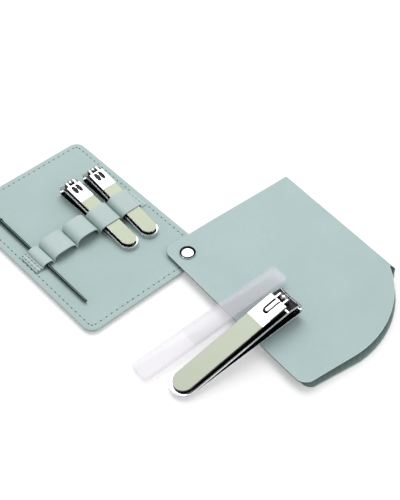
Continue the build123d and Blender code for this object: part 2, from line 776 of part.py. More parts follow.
def looped(loop, turn, reach):
    """Base plane of a small clipper that crosses the middle of its loop, its tail reach past the strap."""
    start, end, _ = loop
    return placed(placed(card_top, y=(start + end) / 2, z=TOOL_GAP, yaw=180 + turn), -reach)


small_a = looped(loops[3], SMALL_A_TURN, SMALL_A_REACH)
small_b = looped(loops[4], SMALL_B_TURN, SMALL_B_REACH)
large = placed(Plane.XY, *LARGE_TAIL, yaw=LARGE_YAW, pitch=laid_pitch(LARGE_TAIL))
clipper(SMALL, small_a, "small_clipper_a")
clipper(SMALL, small_b, "small_clipper_b")
clipper(LARGE, large, "large_clipper")

# --- Glass file ----------------------------------------------------------------------------------------
glass = placed(Plane.XY, *FILE_TAIL, yaw=FILE_YAW, pitch=laid_pitch(FILE_TAIL))
ETCH_LENGTH = ETCH_END - ETCH_START
ETCH_MIDDLE = ((ETCH_START + ETCH_END) / 2, 0)
ETCH_LEVELS = (0, FILE_THICKNESS - ETCH_DEPTH)
with BuildPart() as glass_file:
    with BuildSketch(glass):
        with Locations((FILE_LENGTH / 2, 0)):
            RectangleRounded(FILE_LENGTH, FILE_WIDTH, FILE_CORNER)
    extrude(amount=FILE_THICKNESS)
    flat_faces = glass_file.faces().filter_by(Axis(glass.origin, glass.z_dir))
    fillet(flat_faces.edges(), radius=FILE_EDGE)
    for level in ETCH_LEVELS:
        with BuildSketch(glass.offset(level)):
            with Locations(ETCH_MIDDLE):
                Rectangle(ETCH_LENGTH, FILE_WIDTH - 2 * ETCH_INSET)
        extrude(amount=ETCH_DEPTH, mode=Mode.SUBTRACT)
finish(glass_file.part, "glass_file")

with BuildPart() as file_etching:
    for level in ETCH_LEVELS:
        with BuildSketch(glass.offset(level)):
            with Locations(ETCH_MIDDLE):
                Rectangle(ETCH_LENGTH, FILE_WIDTH - 2 * ETCH_INSET)
        extrude(amount=ETCH_DEPTH)
finish(file_etching.part, "file_etching")

# Where the joints are
large_bar = large.from_local_coords((LARGE.post_x, 0, LARGE.bar_height))
print("large post", large.from_local_coords((LARGE.post_x, 0, 0)), "axis", large.z_dir)
print("large bar", large_bar, "axis", large.y_dir)
for label, frame, size in (("a", small_a, SMALL), ("b", small_b, SMALL), ("large", large, LARGE)):
    spring = frame.from_local_coords((size.rivet_x, 0, size.arm + size.arm_gap / 2))
    print("jaw hinge", label, spring, "axis", frame.y_dir, "slide", frame.x_dir)
print("pick slide", pick_tip.x_dir, "file", glass.x_dir)
print("back crease", (0, SPINE_Y, BACK_CREASE), "flap crease", (0, SPINE_Y, FLAP_CREASE))
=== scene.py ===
"""Looks of a manicure set case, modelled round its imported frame.

A folded leather cover, a stitched tool card that turns on the cover's snap, a pick and two small nail
clippers in the card's loops, and a large nail clipper and a frosted glass file laid on the cover. Sizes are
in millimetres in each part's own seat; a finished mesh is in metres in the row frame.
"""

from __future__ import annotations

import logging
import math
from dataclasses import dataclass
from enum import Enum
from typing import Iterable, Sequence

import bmesh
import bpy
from bmesh.types import BMEdge, BMesh, BMFace, BMVert
from bpy.types import Material, NodeSocket
from mathutils import Matrix, Vector

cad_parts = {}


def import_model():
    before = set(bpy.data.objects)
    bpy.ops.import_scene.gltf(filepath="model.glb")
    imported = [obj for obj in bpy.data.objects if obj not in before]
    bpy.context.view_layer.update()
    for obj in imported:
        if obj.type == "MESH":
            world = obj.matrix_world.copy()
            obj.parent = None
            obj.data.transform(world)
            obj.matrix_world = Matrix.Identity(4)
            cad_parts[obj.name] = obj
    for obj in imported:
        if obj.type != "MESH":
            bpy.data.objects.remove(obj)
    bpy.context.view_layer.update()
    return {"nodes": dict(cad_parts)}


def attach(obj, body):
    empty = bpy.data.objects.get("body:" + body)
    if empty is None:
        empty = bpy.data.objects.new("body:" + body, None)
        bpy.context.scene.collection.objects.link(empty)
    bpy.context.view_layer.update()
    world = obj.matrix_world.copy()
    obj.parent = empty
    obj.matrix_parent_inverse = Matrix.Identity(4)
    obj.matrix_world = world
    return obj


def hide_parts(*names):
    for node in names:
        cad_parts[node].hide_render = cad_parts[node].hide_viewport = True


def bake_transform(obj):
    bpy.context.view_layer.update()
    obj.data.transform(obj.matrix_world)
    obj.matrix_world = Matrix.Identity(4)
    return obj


LOG = logging.getLogger("manicure_case")
MM = 0.001
SMOOTH_BELOW = math.radians(40)  # flatter edges than this shade smooth
SAME_POINT = 1e-6
CUT_GRIP = 1e-4  # how near a scoring plane a vertex counts as on it
HOLE_STEPS = 32
RIM_STEPS = 3  # faces across a rounded edge
BEAD_SIDES = 8
TAIL_STEPS = 40  # edges round a clipper's tail
FLAT = 0.9  # least height of the normal of a face that lies flat
STEEP = 0.5  # most height of the normal of a plate's wall
WAVE = 0.3183  # scale of a wave texture with one band to the millimetre
FLAP_TOP = 4.8
FLAP_FRONT = -8.6  # the flap's opening edge

Colour = tuple[float, float, float]
Profile = Sequence[tuple[float, float]]


class Axis(Enum):
    """A seat's own axes, as a place in a vector."""

    X = 0
    Y = 1


def smooth(low: float, high: float, value: float) -> float:
    """An eased step from 0 at low to 1 at high."""
    share = min(1.0, max(0.0, (value - low) / (high - low)))
    return share * share * (3 - 2 * share)


def seat(
    base: Matrix, x: float = 0, y: float = 0, z: float = 0, yaw: float = 0, pitch: float = 0
) -> Matrix:
    """A seat at (x, y, z) on base, turned by yaw about its Z, then with its X raised by pitch, in degrees."""
    turn = Matrix.Rotation(math.radians(yaw), 4, "Z") @ Matrix.Rotation(math.radians(-pitch), 4, "Y")
    return base @ Matrix.Translation((x, y, z)) @ turn


ROOT = Matrix.Identity(4)


# --- Finishes ------------------------------------------------------------------------------------------
def shade(colour: Colour, level: float) -> tuple[float, float, float, float]:
    """A colour made lighter or darker, with its alpha."""
    return (*(min(1.0, c * level) for c in colour), 1.0)


class Wiring:
    """A material's nodes while they are being wired."""

    def __init__(self, name: str) -> None:
        """Starts a material of that name with its Principled shader."""
        self.material = bpy.data.materials.new(name)
        self.material.use_nodes = True
        self.tree = self.material.node_tree
        self.shader = self.tree.nodes["Principled BSDF"]

    def node(self, kind: str, inputs: dict[str, object] | None = None, **settings: object) -> bpy.types.Node:
        """Adds a node.

        Args:
            kind: the node's type.
            inputs: values for its sockets, or sockets to link to them.
            settings: its other properties.

        Returns:
            The node.
        """
        made = self.tree.nodes.new(kind)
        for key, value in settings.items():
            setattr(made, key, value)
        for key, value in (inputs or {}).items():
            self.put(made.inputs[key], value)
        return made

    def put(self, socket: NodeSocket, value: object) -> None:
        """Links value to socket if it is one itself, and else sets it.

        Args:
            socket: the socket.
            value: a value or another socket.
        """
        if isinstance(value, NodeSocket):
            self.tree.links.new(value, socket)
        else:
            socket.default_value = value

    def dress(self, **inputs: object) -> None:
        """Sets or links the shader's sockets, whose spaces are written as underscores."""
        for key, value in inputs.items():
            self.put(self.shader.inputs[key.replace("_", " ")], value)

    def place(self, scale: Sequence[float] = (1, 1, 1), turn: float = 0) -> NodeSocket:
        """Object coordinates in millimetres, stretched and turned about Z.

        Args:
            scale: the stretch along X, Y and Z.
            turn: the turn, in degrees.

        Returns:
            The coordinates.
        """
        source = self.node("ShaderNodeTexCoord")
        mapping = self.node(
            "ShaderNodeMapping",
            {
                "Vector": source.outputs["Object"],
                "Scale": [s / MM for s in scale],
                "Rotation": (0, 0, math.radians(turn)),
            },
        )
        return mapping.outputs["Vector"]

    def noise(self, where: NodeSocket, scale: float, detail: float = 2) -> NodeSocket:
        """Noise with scale waves to the millimetre."""
        made = self.node("ShaderNodeTexNoise", {"Vector": where, "Scale": scale, "Detail": detail})
        return made.outputs["Fac"]

    def span(
        self, value: NodeSocket, low: float, high: float, dim: float = 0.3, lit: float = 0.7
    ) -> NodeSocket:
        """Maps value from dim..lit to low..high.

        Args:
            value: what is mapped.
            low: the result at dim.
            high: the result at lit.
            dim: the least value.
            lit: the greatest value.

        Returns:
            The result.
        """
        made = self.node(
            "ShaderNodeMapRange",
            {"Value": value, "From Min": dim, "From Max": lit, "To Min": low, "To Max": high},
        )
        return made.outputs["Result"]

    def math(self, operation: str, first: object, second: object) -> NodeSocket:
        """Two values put together by that operation.

        Args:
            operation: the node's name for it.
            first: a value or socket.
            second: another one.

        Returns:
            The result.
        """
        made = self.node("ShaderNodeMath", operation=operation)
        self.put(made.inputs[0], first)
        self.put(made.inputs[1], second)
        return made.outputs[0]

    def mix(self, share: object, first: object, second: object) -> NodeSocket:
        """A colour between first and second.

        Args:
            share: how much of second it has.
            first: a colour or socket.
            second: another one.

        Returns:
            The colour.
        """
        made = self.node("ShaderNodeMix", data_type="RGBA")
        self.put(made.inputs[0], share)
        self.put(made.inputs[6], first)
        self.put(made.inputs[7], second)
        return made.outputs[2]

    def tint(self, value: NodeSocket, colour: Colour, dark: float, light: float) -> NodeSocket:
        """The colour, at its dark level where value is low and at its light level where it is high."""
        return self.mix(self.span(value, 0, 1), shade(colour, dark), shade(colour, light))

    def bump(self, height: NodeSocket, depth: float) -> NodeSocket:
        """A normal that rises by depth millimetres where height is 1."""
        made = self.node("ShaderNodeBump", {"Height": height, "Distance": depth * MM, "Strength": 1.0})
        return made.outputs["Normal"]


@dataclass(frozen=True)
class Finish:
    """A finish of one colour."""

    name: str
    colour: Colour

    def wire(self, w: Wiring) -> None:
        """Wires the finish's nodes."""
        raise NotImplementedError

    def make(self) -> Material:
        """Builds the material."""
        w = Wiring(self.name)
        self.wire(w)
        return w.material


@dataclass(frozen=True)
class Leather(Finish):
    """Fine-grained, matt coated leather."""

    depth: float = 0.02  # of the grain
    grain: float = 2.4  # cells to the millimetre
    cloud: float = 0.035  # waves to the millimetre of its slow and its quick change of tone
    mottle: float = 0.9
    roughness: float = 0.52

    def wire(self, w: Wiring) -> None:
        """Wires its nodes."""
        where = w.place()
        cells = w.node(
            "ShaderNodeTexVoronoi",
            {"Vector": where, "Scale": self.grain, "Smoothness": 0.6},
            feature="SMOOTH_F1",
        ).outputs["Distance"]
        mottle = w.noise(where, self.mottle, 4)
        tone = w.tint(w.noise(where, self.cloud, 3), self.colour, 0.955, 1.03)
        relief = w.math("ADD", cells, w.math("MULTIPLY", mottle, 0.5))
        w.dress(
            Base_Color=w.mix(w.span(mottle, 0.0, 0.35), tone, shade(self.colour, 0.93)),
            Roughness=w.span(mottle, self.roughness - 0.05, self.roughness + 0.08),
            Specular_IOR_Level=0.42,
            Normal=w.bump(relief, self.depth),
        )


@dataclass(frozen=True)
class Fibrous(Finish):
    """Matt fibres: a cut and painted edge, grey board, or painted light and shade on edges and needle holes.
    """

    stretch: tuple[float, float, float] = (1, 1, 3)
    fineness: float = 3.0  # waves to the millimetre
    tones: tuple[float, float] = (0.86, 1.06)
    roughness: float = 0.6
    depth: float = 0.05

    def wire(self, w: Wiring) -> None:
        """Wires its nodes."""
        fibres = w.noise(w.place(self.stretch), self.fineness, 5)
        w.dress(
            Base_Color=w.tint(fibres, self.colour, *self.tones),
            Roughness=self.roughness,
            Normal=w.bump(fibres, self.depth),
        )


PULP = ((0.4, 1, 1), 2.0, (0.8, 1.15), 0.9)  # what pressed board has of a Fibrous finish


@dataclass(frozen=True)
class Weave(Finish):
    """Close-woven cloth with a rib across it."""

    pitch: float = 1.0
    rib: float = 1.9
    depth: float = 0.06

    def wire(self, w: Wiring) -> None:
        """Wires its nodes."""
        where = w.place()
        warp, weft, rib = (
            w.node(
                "ShaderNodeTexWave",
                {"Vector": where, "Scale": WAVE / pitch, "Distortion": 0.4, "Detail": 1.0},
                bands_direction=direction,
            ).outputs["Fac"]
            for direction, pitch in (("X", self.pitch), ("Y", self.pitch), ("DIAGONAL", self.rib))
        )
        cloth = w.math("MULTIPLY", warp, weft)
        tone = w.mix(cloth, shade(self.colour, 0.58), shade(self.colour, 1.3))
        w.dress(
            Base_Color=w.mix(w.math("MULTIPLY", rib, 0.35), tone, shade(self.colour, 0.55)),
            Roughness=0.82,
            Sheen_Weight=0.15,
            Normal=w.bump(w.math("ADD", cloth, rib), self.depth),
        )


@dataclass(frozen=True)
class Plated(Finish):
    """Polished plating over pressed steel, with faint wiping marks."""

    roughness: float

    def wire(self, w: Wiring) -> None:
        """Wires its nodes."""
        smears = w.noise(w.place((0.2, 1, 1)), 0.5, 3)
        scratches = w.noise(w.place((0.3, 6, 6), 7), 1.2, 2)
        w.dress(
            Base_Color=w.tint(smears, self.colour, 0.97, 1.03),
            Metallic=1.0,
            Roughness=w.span(smears, self.roughness * 0.7, self.roughness * 1.5),
            Normal=w.bump(scratches, 0.0006),
        )


@dataclass(frozen=True)
class Enamel(Finish):
    """Satin coloured film pressed into a lever."""

    def wire(self, w: Wiring) -> None:
        """Wires its nodes."""
        where = w.place()
        speck = w.noise(where, 5.0, 3)
        tone = w.tint(w.noise(where, 0.05, 2), self.colour, 0.97, 1.03)
        w.dress(
            Base_Color=w.mix(w.span(speck, 0, 0.12), tone, shade(self.colour, 0.85)),
            Roughness=w.span(speck, 0.34, 0.46),
            Coat_Weight=0.25,
            Coat_Roughness=0.25,
            Normal=w.bump(speck, 0.004),
        )


@dataclass(frozen=True)
class Frosted(Finish):
    """Frosted glass, as fine or as coarse as its grit."""

    roughness: float
    clearness: float
    grit: float  # waves to the millimetre
    depth: float

    def wire(self, w: Wiring) -> None:
        """Wires its nodes."""
        where = w.place()
        grit = w.noise(where, self.grit, 4)
        w.dress(
            Base_Color=w.tint(w.noise(where, 0.08, 2), self.colour, 0.98, 1.02),
            Roughness=w.span(grit, self.roughness - 0.05, self.roughness + 0.05),
            Alpha=self.clearness,
            IOR=1.5,
            Normal=w.bump(grit, self.depth),
        )


@dataclass(frozen=True)
class Thread(Finish):
    """Twisted sewing thread."""

    def wire(self, w: Wiring) -> None:
        """Wires its nodes."""
        twist = w.node(
            "ShaderNodeTexWave",
            {"Vector": w.place(turn=35), "Scale": 1.4, "Distortion": 1.5, "Detail": 1.0},
        ).outputs["Fac"]
        w.dress(
            Base_Color=w.mix(twist, shade(self.colour, 0.75), shade(self.colour, 1.1)),
            Roughness=0.7,
            Sheen_Weight=0.2,
            Normal=w.bump(twist, 0.05),
        )


class Slot(Enum):
    """The record's material slots."""

    COVER = "cover_leather"
    CARD = "card_leather"
    LINING = "lining"
    SNAP = "snap_chrome"
    BOARD = "board"
    THREAD = "thread"
    STEEL = "tool_steel"
    INLAY = "inlay_green"
    GLASS = "frosted_glass"
    ETCH = "etched_glass"


class Finishes:
    """Every finish of the object, made once."""

    def __init__(self) -> None:
        """Makes the materials."""
        self.cover = Leather("cover_leather_sage", (0.466, 0.600, 0.600)).make()
        self.card = Leather("card_leather_sage", (0.452, 0.592, 0.578)).make()
        # painted shade: the strap's underside made near black, as the shade inside the loops
        self.inside = Weave("strap_inside_painted_shade", (0.06, 0.12, 0.11)).make()
        # lighter than the card's leather: partly its own tone, partly painted light on the loops' raised tops
        self.strap = Leather("strap_leather_sage", (0.530, 0.650, 0.635), 0.016).make()
        self.edge = Fibrous("leather_edge_pale", (0.55, 0.64, 0.62)).make()
        # the leather's paler cut edge, lightened further as a painted highlight along the rim
        self.rim = Fibrous("cover_rim_painted_highlight", (0.74, 0.81, 0.80)).make()
        # painted shade: the near-black opening edges of the cover's leathers and linings, as the shadow under
        # the flap
        self.underside = Fibrous("cover_opening_edge_painted_shade", (0.07, 0.12, 0.115)).make()
        self.lining = Weave("lining_teal", (0.42, 0.58, 0.55)).make()
        self.snap = Plated("snap_plate", (0.66, 0.64, 0.67), 0.07).make()
        self.steel = Plated("tool_plate", (0.66, 0.67, 0.68), 0.05).make()
        # painted reflection: the pick's plating darkened green, as the leather and shade that it mirrors
        self.pick = Plated("pick_plate_painted_reflection", (0.06, 0.09, 0.075), 0.22).make()
        # painted shade and dark reflection on plating: between a clipper's arms, in cuts, on the snap's dish
        # wall
        self.painted_shade_plate = Plated("plate_painted_shade", (0.025, 0.025, 0.027), 0.4).make()
        # painted highlight: a lighter, rougher copy of the plating for the arms' walls
        self.cut = Plated("plate_wall_painted_highlight", (0.97, 0.98, 0.98), 0.42).make()
        self.large_inlay = Enamel("inlay_sage", (0.565, 0.625, 0.485)).make()
        self.small_inlay = Enamel("inlay_sage_warm", (0.565, 0.63, 0.455)).make()
        self.glass = Frosted("glass_frosted", (0.90, 0.87, 0.93), 0.3, 0.25, grit=3.0, depth=0.004).make()
        self.etch = Frosted("glass_etched", (0.84, 0.83, 0.89), 0.7, 0.05, grit=6.0, depth=0.03).make()
        self.thread = Thread("thread_sage", (0.50, 0.62, 0.60)).make()
        self.board = Fibrous("board_grey", (0.45, 0.42, 0.36), *PULP).make()
        # painted shade: the dark spot of a needle hole
        self.pit = Fibrous("needle_hole_painted_shade", (0.025, 0.045, 0.045), *PULP).make()


# --- Shaping -------------------------------------------------------------------------------------------
def verts_of(geom: Iterable[object]) -> list[BMVert]:
    """The vertices among what an operator gives back."""
    return [g for g in geom if isinstance(g, BMVert)]


def mesh_of(bm: BMesh, name: str) -> bpy.types.Mesh:
    """Makes a mesh.

    Args:
        bm: the mesh data, which are freed.
        name: the mesh's name.

    Returns:
        The mesh.
    """
    mesh = bpy.data.meshes.new(name)
    bm.to_mesh(mesh)
    bm.free()
    return mesh


def into_scene(name: str, data: bpy.types.ID) -> bpy.types.Object:
    """Adds a new object to the scene.

    Args:
        name: its name.
        data: its mesh, lamp or camera.

    Returns:
        The object.
    """
    made = bpy.data.objects.new(name, data)
    bpy.context.scene.collection.objects.link(made)
    return made


class Outline:
    """A closed outline of straight edges and arcs, with rounded corners and round holes, in X and Y."""

    def __init__(self, x: float, y: float, radius: float = 0) -> None:
        """Starts the outline at (x, y), a corner rounded to that radius."""
        self.bm = bmesh.new()
        self.corners: list[tuple[BMVert, float]] = []
        self.first = self.last = self.bm.verts.new((x, y, 0))
        self.holes: list[tuple[float, float, float]] = []
        if radius:
            self.corners.append((self.first, radius))

    def line(self, x: float, y: float, radius: float = 0) -> Outline:
        """Adds a straight edge to (x, y), a corner rounded to that radius.

        Args:
            x: its end in X.
            y: its end in Y.
            radius: radius of the corner there.

        Returns:
            The outline.
        """
        vert = self.bm.verts.new((x, y, 0))
        self.bm.edges.new((self.last, vert))
        self.last = vert
        if radius:
            self.corners.append((vert, radius))
        return self

    def arc(self, x: float, y: float, sagitta: float, steps: int) -> Outline:
        """Adds an arc to (x, y).

        Args:
            x: its end in X.
            y: its end in Y.
            sagitta: its bulge to the left of its chord.
            steps: edges along it.

        Returns:
            The outline.
        """
        start, end = self.last.co.copy(), Vector((x, y, 0))
        chord = end - start
        radius = (chord.length_squared / 4 + sagitta * sagitta) / (2 * sagitta)
        left = Vector((-chord.y, chord.x, 0)).normalized()
        centre = (start + end) / 2 + left * (sagitta - radius)
        angle = -2 * math.asin(chord.length / 2 / abs(radius)) * math.copysign(1, sagitta)
        made = bmesh.ops.spin(
            self.bm, geom=[self.last], cent=centre, axis=(0, 0, 1), angle=angle, steps=steps
        )
        self.last = verts_of(made["geom_last"])[0]
        self.last.co = end
        return self

    def hole(self, x: float, y: float, radius: float) -> Outline:
        """Adds a round hole."""
        self.holes.append((x, y, radius))
        return self

    def fill(self, segments: int = 8) -> BMesh:
        """Closes the outline, rounds its corners and fills it.

        Args:
            segments: edges in each rounded corner.

        Returns:
            The flat faces, facing up.
        """
        bm = self.bm
        if (self.first.co - self.last.co).length < SAME_POINT:
            bmesh.ops.weld_verts(bm, targetmap={self.last: self.first})
        else:
            bm.edges.new((self.last, self.first))
        face = bmesh.ops.contextual_create(bm, geom=bm.edges[:])["faces"][0]
        for vert, radius in self.corners:
            arms = [e.other_vert(vert).co - vert.co for e in vert.link_edges]
            reach = radius / math.tan(arms[0].angle(arms[1]) / 2)
            bmesh.ops.bevel(
                bm,
                geom=[vert],
                offset=reach,
                segments=segments,
                profile=0.5,
                affect="VERTICES",
                material=-1,
            )
        if self.holes:
            drill(bm, bm.faces[:][0], self.holes)
        for face in bm.faces:
            face.normal_update()
            if face.normal.z < 0:
                face.normal_flip()
        return bm


def drill(bm: BMesh, face: BMFace, holes: Iterable[tuple[float, float, float]]) -> None:
    """Cuts round holes in one flat face, and fills it anew round them.

    Args:
        bm: the mesh.
        face: the face.
        holes: each hole's x, y and radius.
    """
    edges = list(face.edges)
    level = face.verts[0].co.z
    for x, y, radius in holes:
        place = Matrix.Translation((x, y, level))
        ring = bmesh.ops.create_circle(bm, segments=HOLE_STEPS, radius=radius, matrix=place)
        edges += dict.fromkeys(e for v in ring["verts"] for e in v.link_edges)
    bmesh.ops.delete(bm, geom=[face], context="FACES_ONLY")
    made = bmesh.ops.triangle_fill(bm, edges=edges, use_beauty=True, normal=(0, 0, 1))
    bmesh.ops.dissolve_limit(
        bm,
        angle_limit=0.001,
        verts=[],
        edges=[g for g in made["geom"] if isinstance(g, BMEdge)],
    )


def thicken(bm: BMesh, depth: float) -> None:
    """Gives the faces a thickness, straight down from where they are.

    Args:
        bm: the flat faces.
        depth: the thickness.
    """
    made = bmesh.ops.extrude_face_region(bm, geom=bm.faces[:])
    bmesh.ops.translate(bm, verts=verts_of(made["geom"]), vec=(0, 0, -depth))
    bmesh.ops.recalc_face_normals(bm, faces=bm.faces[:])


def round_edges(bm: BMesh, radius: float, over: float = 50, finish: int = -1) -> None:
    """Rounds the edges sharper than over degrees.

    Args:
        bm: the mesh.
        radius: the rounding's radius.
        over: the least angle between two faces, in degrees.
        finish: the material of the rounding, or -1 for its neighbours' own.
    """
    sharp = [e for e in bm.edges if len(e.link_faces) == 2 and e.calc_face_angle(0) > math.radians(over)]
    bmesh.ops.bevel(
        bm,
        geom=sharp,
        offset=radius,
        segments=RIM_STEPS,
        profile=0.5,
        affect="EDGES",
        clamp_overlap=True,
        material=finish,
    )


def plate(
    outline: Outline, thickness: float, edge: float, segments: int = 8, finish: int = -1
) -> BMesh:
    """A flat plate of that outline from 0 up to its thickness, its rim rounded.

    Args:
        outline: the plate's outline.
        thickness: how thick it is.
        edge: its rim's radius.
        segments: edges in each rounded corner of the outline.
        finish: the material of the rounded rim, or -1.

    Returns:
        The plate.
    """
    bm = outline.fill(segments)
    thicken(bm, thickness)
    bmesh.ops.translate(bm, verts=bm.verts[:], vec=(0, 0, thickness))
    if finish >= 0:
        for face in bm.faces:
            if abs(face.normal.z) < STEEP:
                face.material_index = finish
    if edge:
        round_edges(bm, edge, finish=finish)
    return bm


def score(bm: BMesh, axis: Axis, places: Iterable[float], beyond: float | None = None) -> None:
    """Divides the mesh by planes across one axis, so that it can bend there.

    Args:
        bm: the mesh.
        axis: the axis that the planes cross.
        places: where they cross it.
        beyond: the least X of what is divided, or None for all of it.
    """
    normal = Vector((1, 0, 0)) if axis is Axis.X else Vector((0, 1, 0))
    for at in places:
        geom = [v for v in bm.verts if beyond is None or v.co.x >= beyond - CUT_GRIP]
        inside = set(geom)
        geom += [e for e in bm.edges if inside.issuperset(e.verts)]
        geom += [f for f in bm.faces if inside.issuperset(f.verts)]
        bmesh.ops.bisect_plane(bm, geom=geom, plane_co=normal * at, plane_no=normal, dist=CUT_GRIP)


def steps(start: float, end: float, pitch: float) -> list[float]:
    """Evenly spaced places inside start to end, about pitch apart."""
    count = max(1, round((end - start) / pitch))
    return [start + (end - start) * i / count for i in range(1, count)]


class Track:
    """The line that a flat blank is bent along, in the plane of one axis and Z: straight runs and bends."""

    def __init__(self, along: float, z: float) -> None:
        """Starts at (along, z), heading along the axis. Lengths count from along."""
        self.runs: list[tuple[float, Vector, float, float]] = [(along, Vector((along, z)), 0.0, 0.0)]

    def _add(self, length: float, curve: float) -> Track:
        """Adds a run of that length and curvature.

        Args:
            length: its length.
            curve: its curvature, 0 where it is straight.

        Returns:
            The track.
        """
        begin, point, heading, _ = self.runs[-1]
        self.runs[-1] = (begin, point, heading, curve)
        place, turned = self._along(point, heading, curve, length)
        self.runs.append((begin + length, place, turned, 0.0))
        return self

    def straight(self, length: float) -> Track:
        """Adds a straight run."""
        return self._add(length, 0.0)

    def bend(self, degrees: float, radius: float) -> Track:
        """Adds a bend, upwards if degrees is above 0."""
        return self._add(abs(math.radians(degrees)) * radius, math.copysign(1 / radius, degrees))

    @staticmethod
    def _along(point: Vector, heading: float, curve: float, length: float) -> tuple[Vector, float]:
        """The point and heading a length further on.

        Args:
            point: where the run starts.
            heading: its heading there, in radians.
            curve: its curvature.
            length: how far on.

        Returns:
            The point and the heading there.
        """
        if not curve:
            return point + Vector((math.cos(heading), math.sin(heading))) * length, heading
        turned = heading + curve * length
        side = Vector((math.sin(turned) - math.sin(heading), math.cos(heading) - math.cos(turned)))
        return point + side / curve, turned

    def at(self, length: float) -> tuple[Vector, Vector]:
        """The point on the track at that length, and the track's upward normal there.

        Args:
            length: how far along.

        Returns:
            The point and the normal.
        """
        run = self.runs[0]
        for other in self.runs[1:]:
            if other[0] > length:
                break
            run = other
        begin, point, heading, curve = run
        place, turned = self._along(point, heading, curve, length - begin)
        return place, Vector((-math.sin(turned), math.cos(turned)))

    @property
    def length(self) -> float:
        """Length from the start to the end of the last run."""
        return self.runs[-1][0]

    def places(self, pitch: float, tight: float) -> list[float]:
        """Where a blank is scored to follow the track.

        Args:
            pitch: between the places on a straight.
            tight: between them in a bend.

        Returns:
            The places.
        """
        found: list[float] = []
        for run, after in zip(self.runs, self.runs[1:]):
            found += steps(run[0], after[0], tight if run[3] else pitch) + [after[0]]
        return found

    def bend_blank(self, bm: BMesh, axis: Axis) -> None:
        """Bends a blank along the track.

        Args:
            bm: the blank, its heights measured from the track.
            axis: the axis that it lies along.
        """
        for vert in bm.verts:
            place, normal = self.at(vert.co[axis.value])
            point = place + normal * vert.co.z
            vert.co[axis.value] = point.x
            vert.co.z = point.y


def lathe(profile: Profile, segments: int = 48) -> BMesh:
    """Turns a profile of (radius, height) points about Z, with its ends on the axis or joined to each other.

    Args:
        profile: the points, in order.
        segments: steps round the axis.

    Returns:
        The closed turned shape.
    """
    bm = bmesh.new()
    verts = [bm.verts.new((r, 0, z)) for r, z in profile]
    edges = [bm.edges.new(pair) for pair in zip(verts, verts[1:])]
    if profile[0][0] > 0 and profile[-1][0] > 0:
        edges.append(bm.edges.new((verts[-1], verts[0])))
    bmesh.ops.spin(
        bm,
        geom=verts + edges,
        cent=(0, 0, 0),
        axis=(0, 0, 1),
        angle=math.tau,
        steps=segments,
        use_merge=True,
    )
    bmesh.ops.remove_doubles(bm, verts=bm.verts[:], dist=1e-5)
    bmesh.ops.delete(bm, geom=[e for e in bm.edges if not e.link_faces], context="EDGES")
    bmesh.ops.recalc_face_normals(bm, faces=bm.faces[:])
    return bm


def merge(into: BMesh, other: BMesh, place: Matrix = ROOT) -> None:
    """Adds another mesh and frees it.

    Args:
        into: the mesh that it is added to.
        other: the added mesh.
        place: how it is moved.
    """
    other.transform(place)
    loose = mesh_of(other, "loose")
    into.from_mesh(loose)
    bpy.data.meshes.remove(loose)


def bead(bm: BMesh, place: Matrix, size: Sequence[float], along: int = 6) -> None:
    """Adds an ellipsoid, such as one stitch.

    Args:
        bm: the mesh.
        place: its middle and its turn.
        size: its half sizes.
        along: faces from pole to pole.
    """
    stretched = place @ Matrix.Diagonal((*size, 1))
    bmesh.ops.create_uvsphere(bm, u_segments=BEAD_SIDES, v_segments=along, radius=1, matrix=stretched)


def oblong(start: float, end: float, half: float, corner: float = 0) -> Outline:
    """An oblong's outline along X from start to end, with half its width on each side of X."""
    drawn = Outline(start, -half, corner).line(end, -half, corner)
    return drawn.line(end, half, corner).line(start, half, corner)


def round_tailed(end: float, head: float, tail: float, centre: float, corner: float) -> Outline:
    """A strip's outline, round at its tail and square at its head.

    Args:
        end: where its head is.
        head: half its width there.
        tail: half its width at the tail.
        centre: the middle of the tail's arc, along it.
        corner: radius of the head's corners.

    Returns:
        The outline.
    """
    drawn = Outline(end, head, corner).line(centre, tail)
    return drawn.arc(centre, -tail, 0.001 - tail, TAIL_STEPS).line(end, -head, corner)


class Maker:
    """Turns finished meshes into the scene's pieces, hides their CAD nodes and sets them on their bodies."""

    def __init__(self) -> None:
        """Starts with no pieces."""
        self.count = 0

    def piece(
        self,
        bm: BMesh,
        name: str,
        place: Matrix,
        finishes: Sequence[Material],
        slot: Slot,
        nodes: Sequence[str] = (),
        body: str | None = None,
        crisp: bool = True,
    ) -> bpy.types.Object:
        """Makes one piece of a mesh in its seat's millimetres.

        Args:
            bm: the mesh, which is freed.
            name: the piece's name.
            place: its seat.
            finishes: its materials, in the order of its faces' indices.
            slot: not used.
            nodes: the CAD nodes that it stands for.
            body: the CAD body that it rides on, or None where it lies across two and rides on neither.
            crisp: whether flat faces keep their own shading.

        Returns:
            The piece.
        """
        bm.transform(Matrix.Scale(MM, 4) @ place)
        bmesh.ops.remove_doubles(bm, verts=bm.verts[:], dist=1e-7)
        bmesh.ops.recalc_face_normals(bm, faces=bm.faces[:])
        for face in bm.faces:
            face.smooth = True
        for edge in bm.edges:
            edge.smooth = len(edge.link_faces) != 2 or edge.calc_face_angle(0) < SMOOTH_BELOW
        made = into_scene(name, mesh_of(bm, name))
        for finish in finishes:
            made.data.materials.append(finish)
        if crisp:
            made.modifiers.new("flat_faces", "WEIGHTED_NORMAL").keep_sharp = True
        if nodes:
            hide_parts(*nodes)
        if body:
            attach(made, body)
        self.count += 1
        LOG.info("%s: %d faces", name, len(made.data.polygons))
        return made


# --- Cover ---------------------------------------------------------------------------------------------
@dataclass(frozen=True)
class Layer:
    """One layer of one half of the cover."""

    name: str
    nodes: tuple[str, ...]
    cloth: bool  # whether it is the lining
    up: bool  # whether it turns up at the fold, as the back panel does
    level: float  # height of its middle where it is flat
    thick: float
    inset: float  # how far it lies inside the leather's edge
    radius: float  # radius of its middle in the fold
    rim: float  # radius of its rounded edge


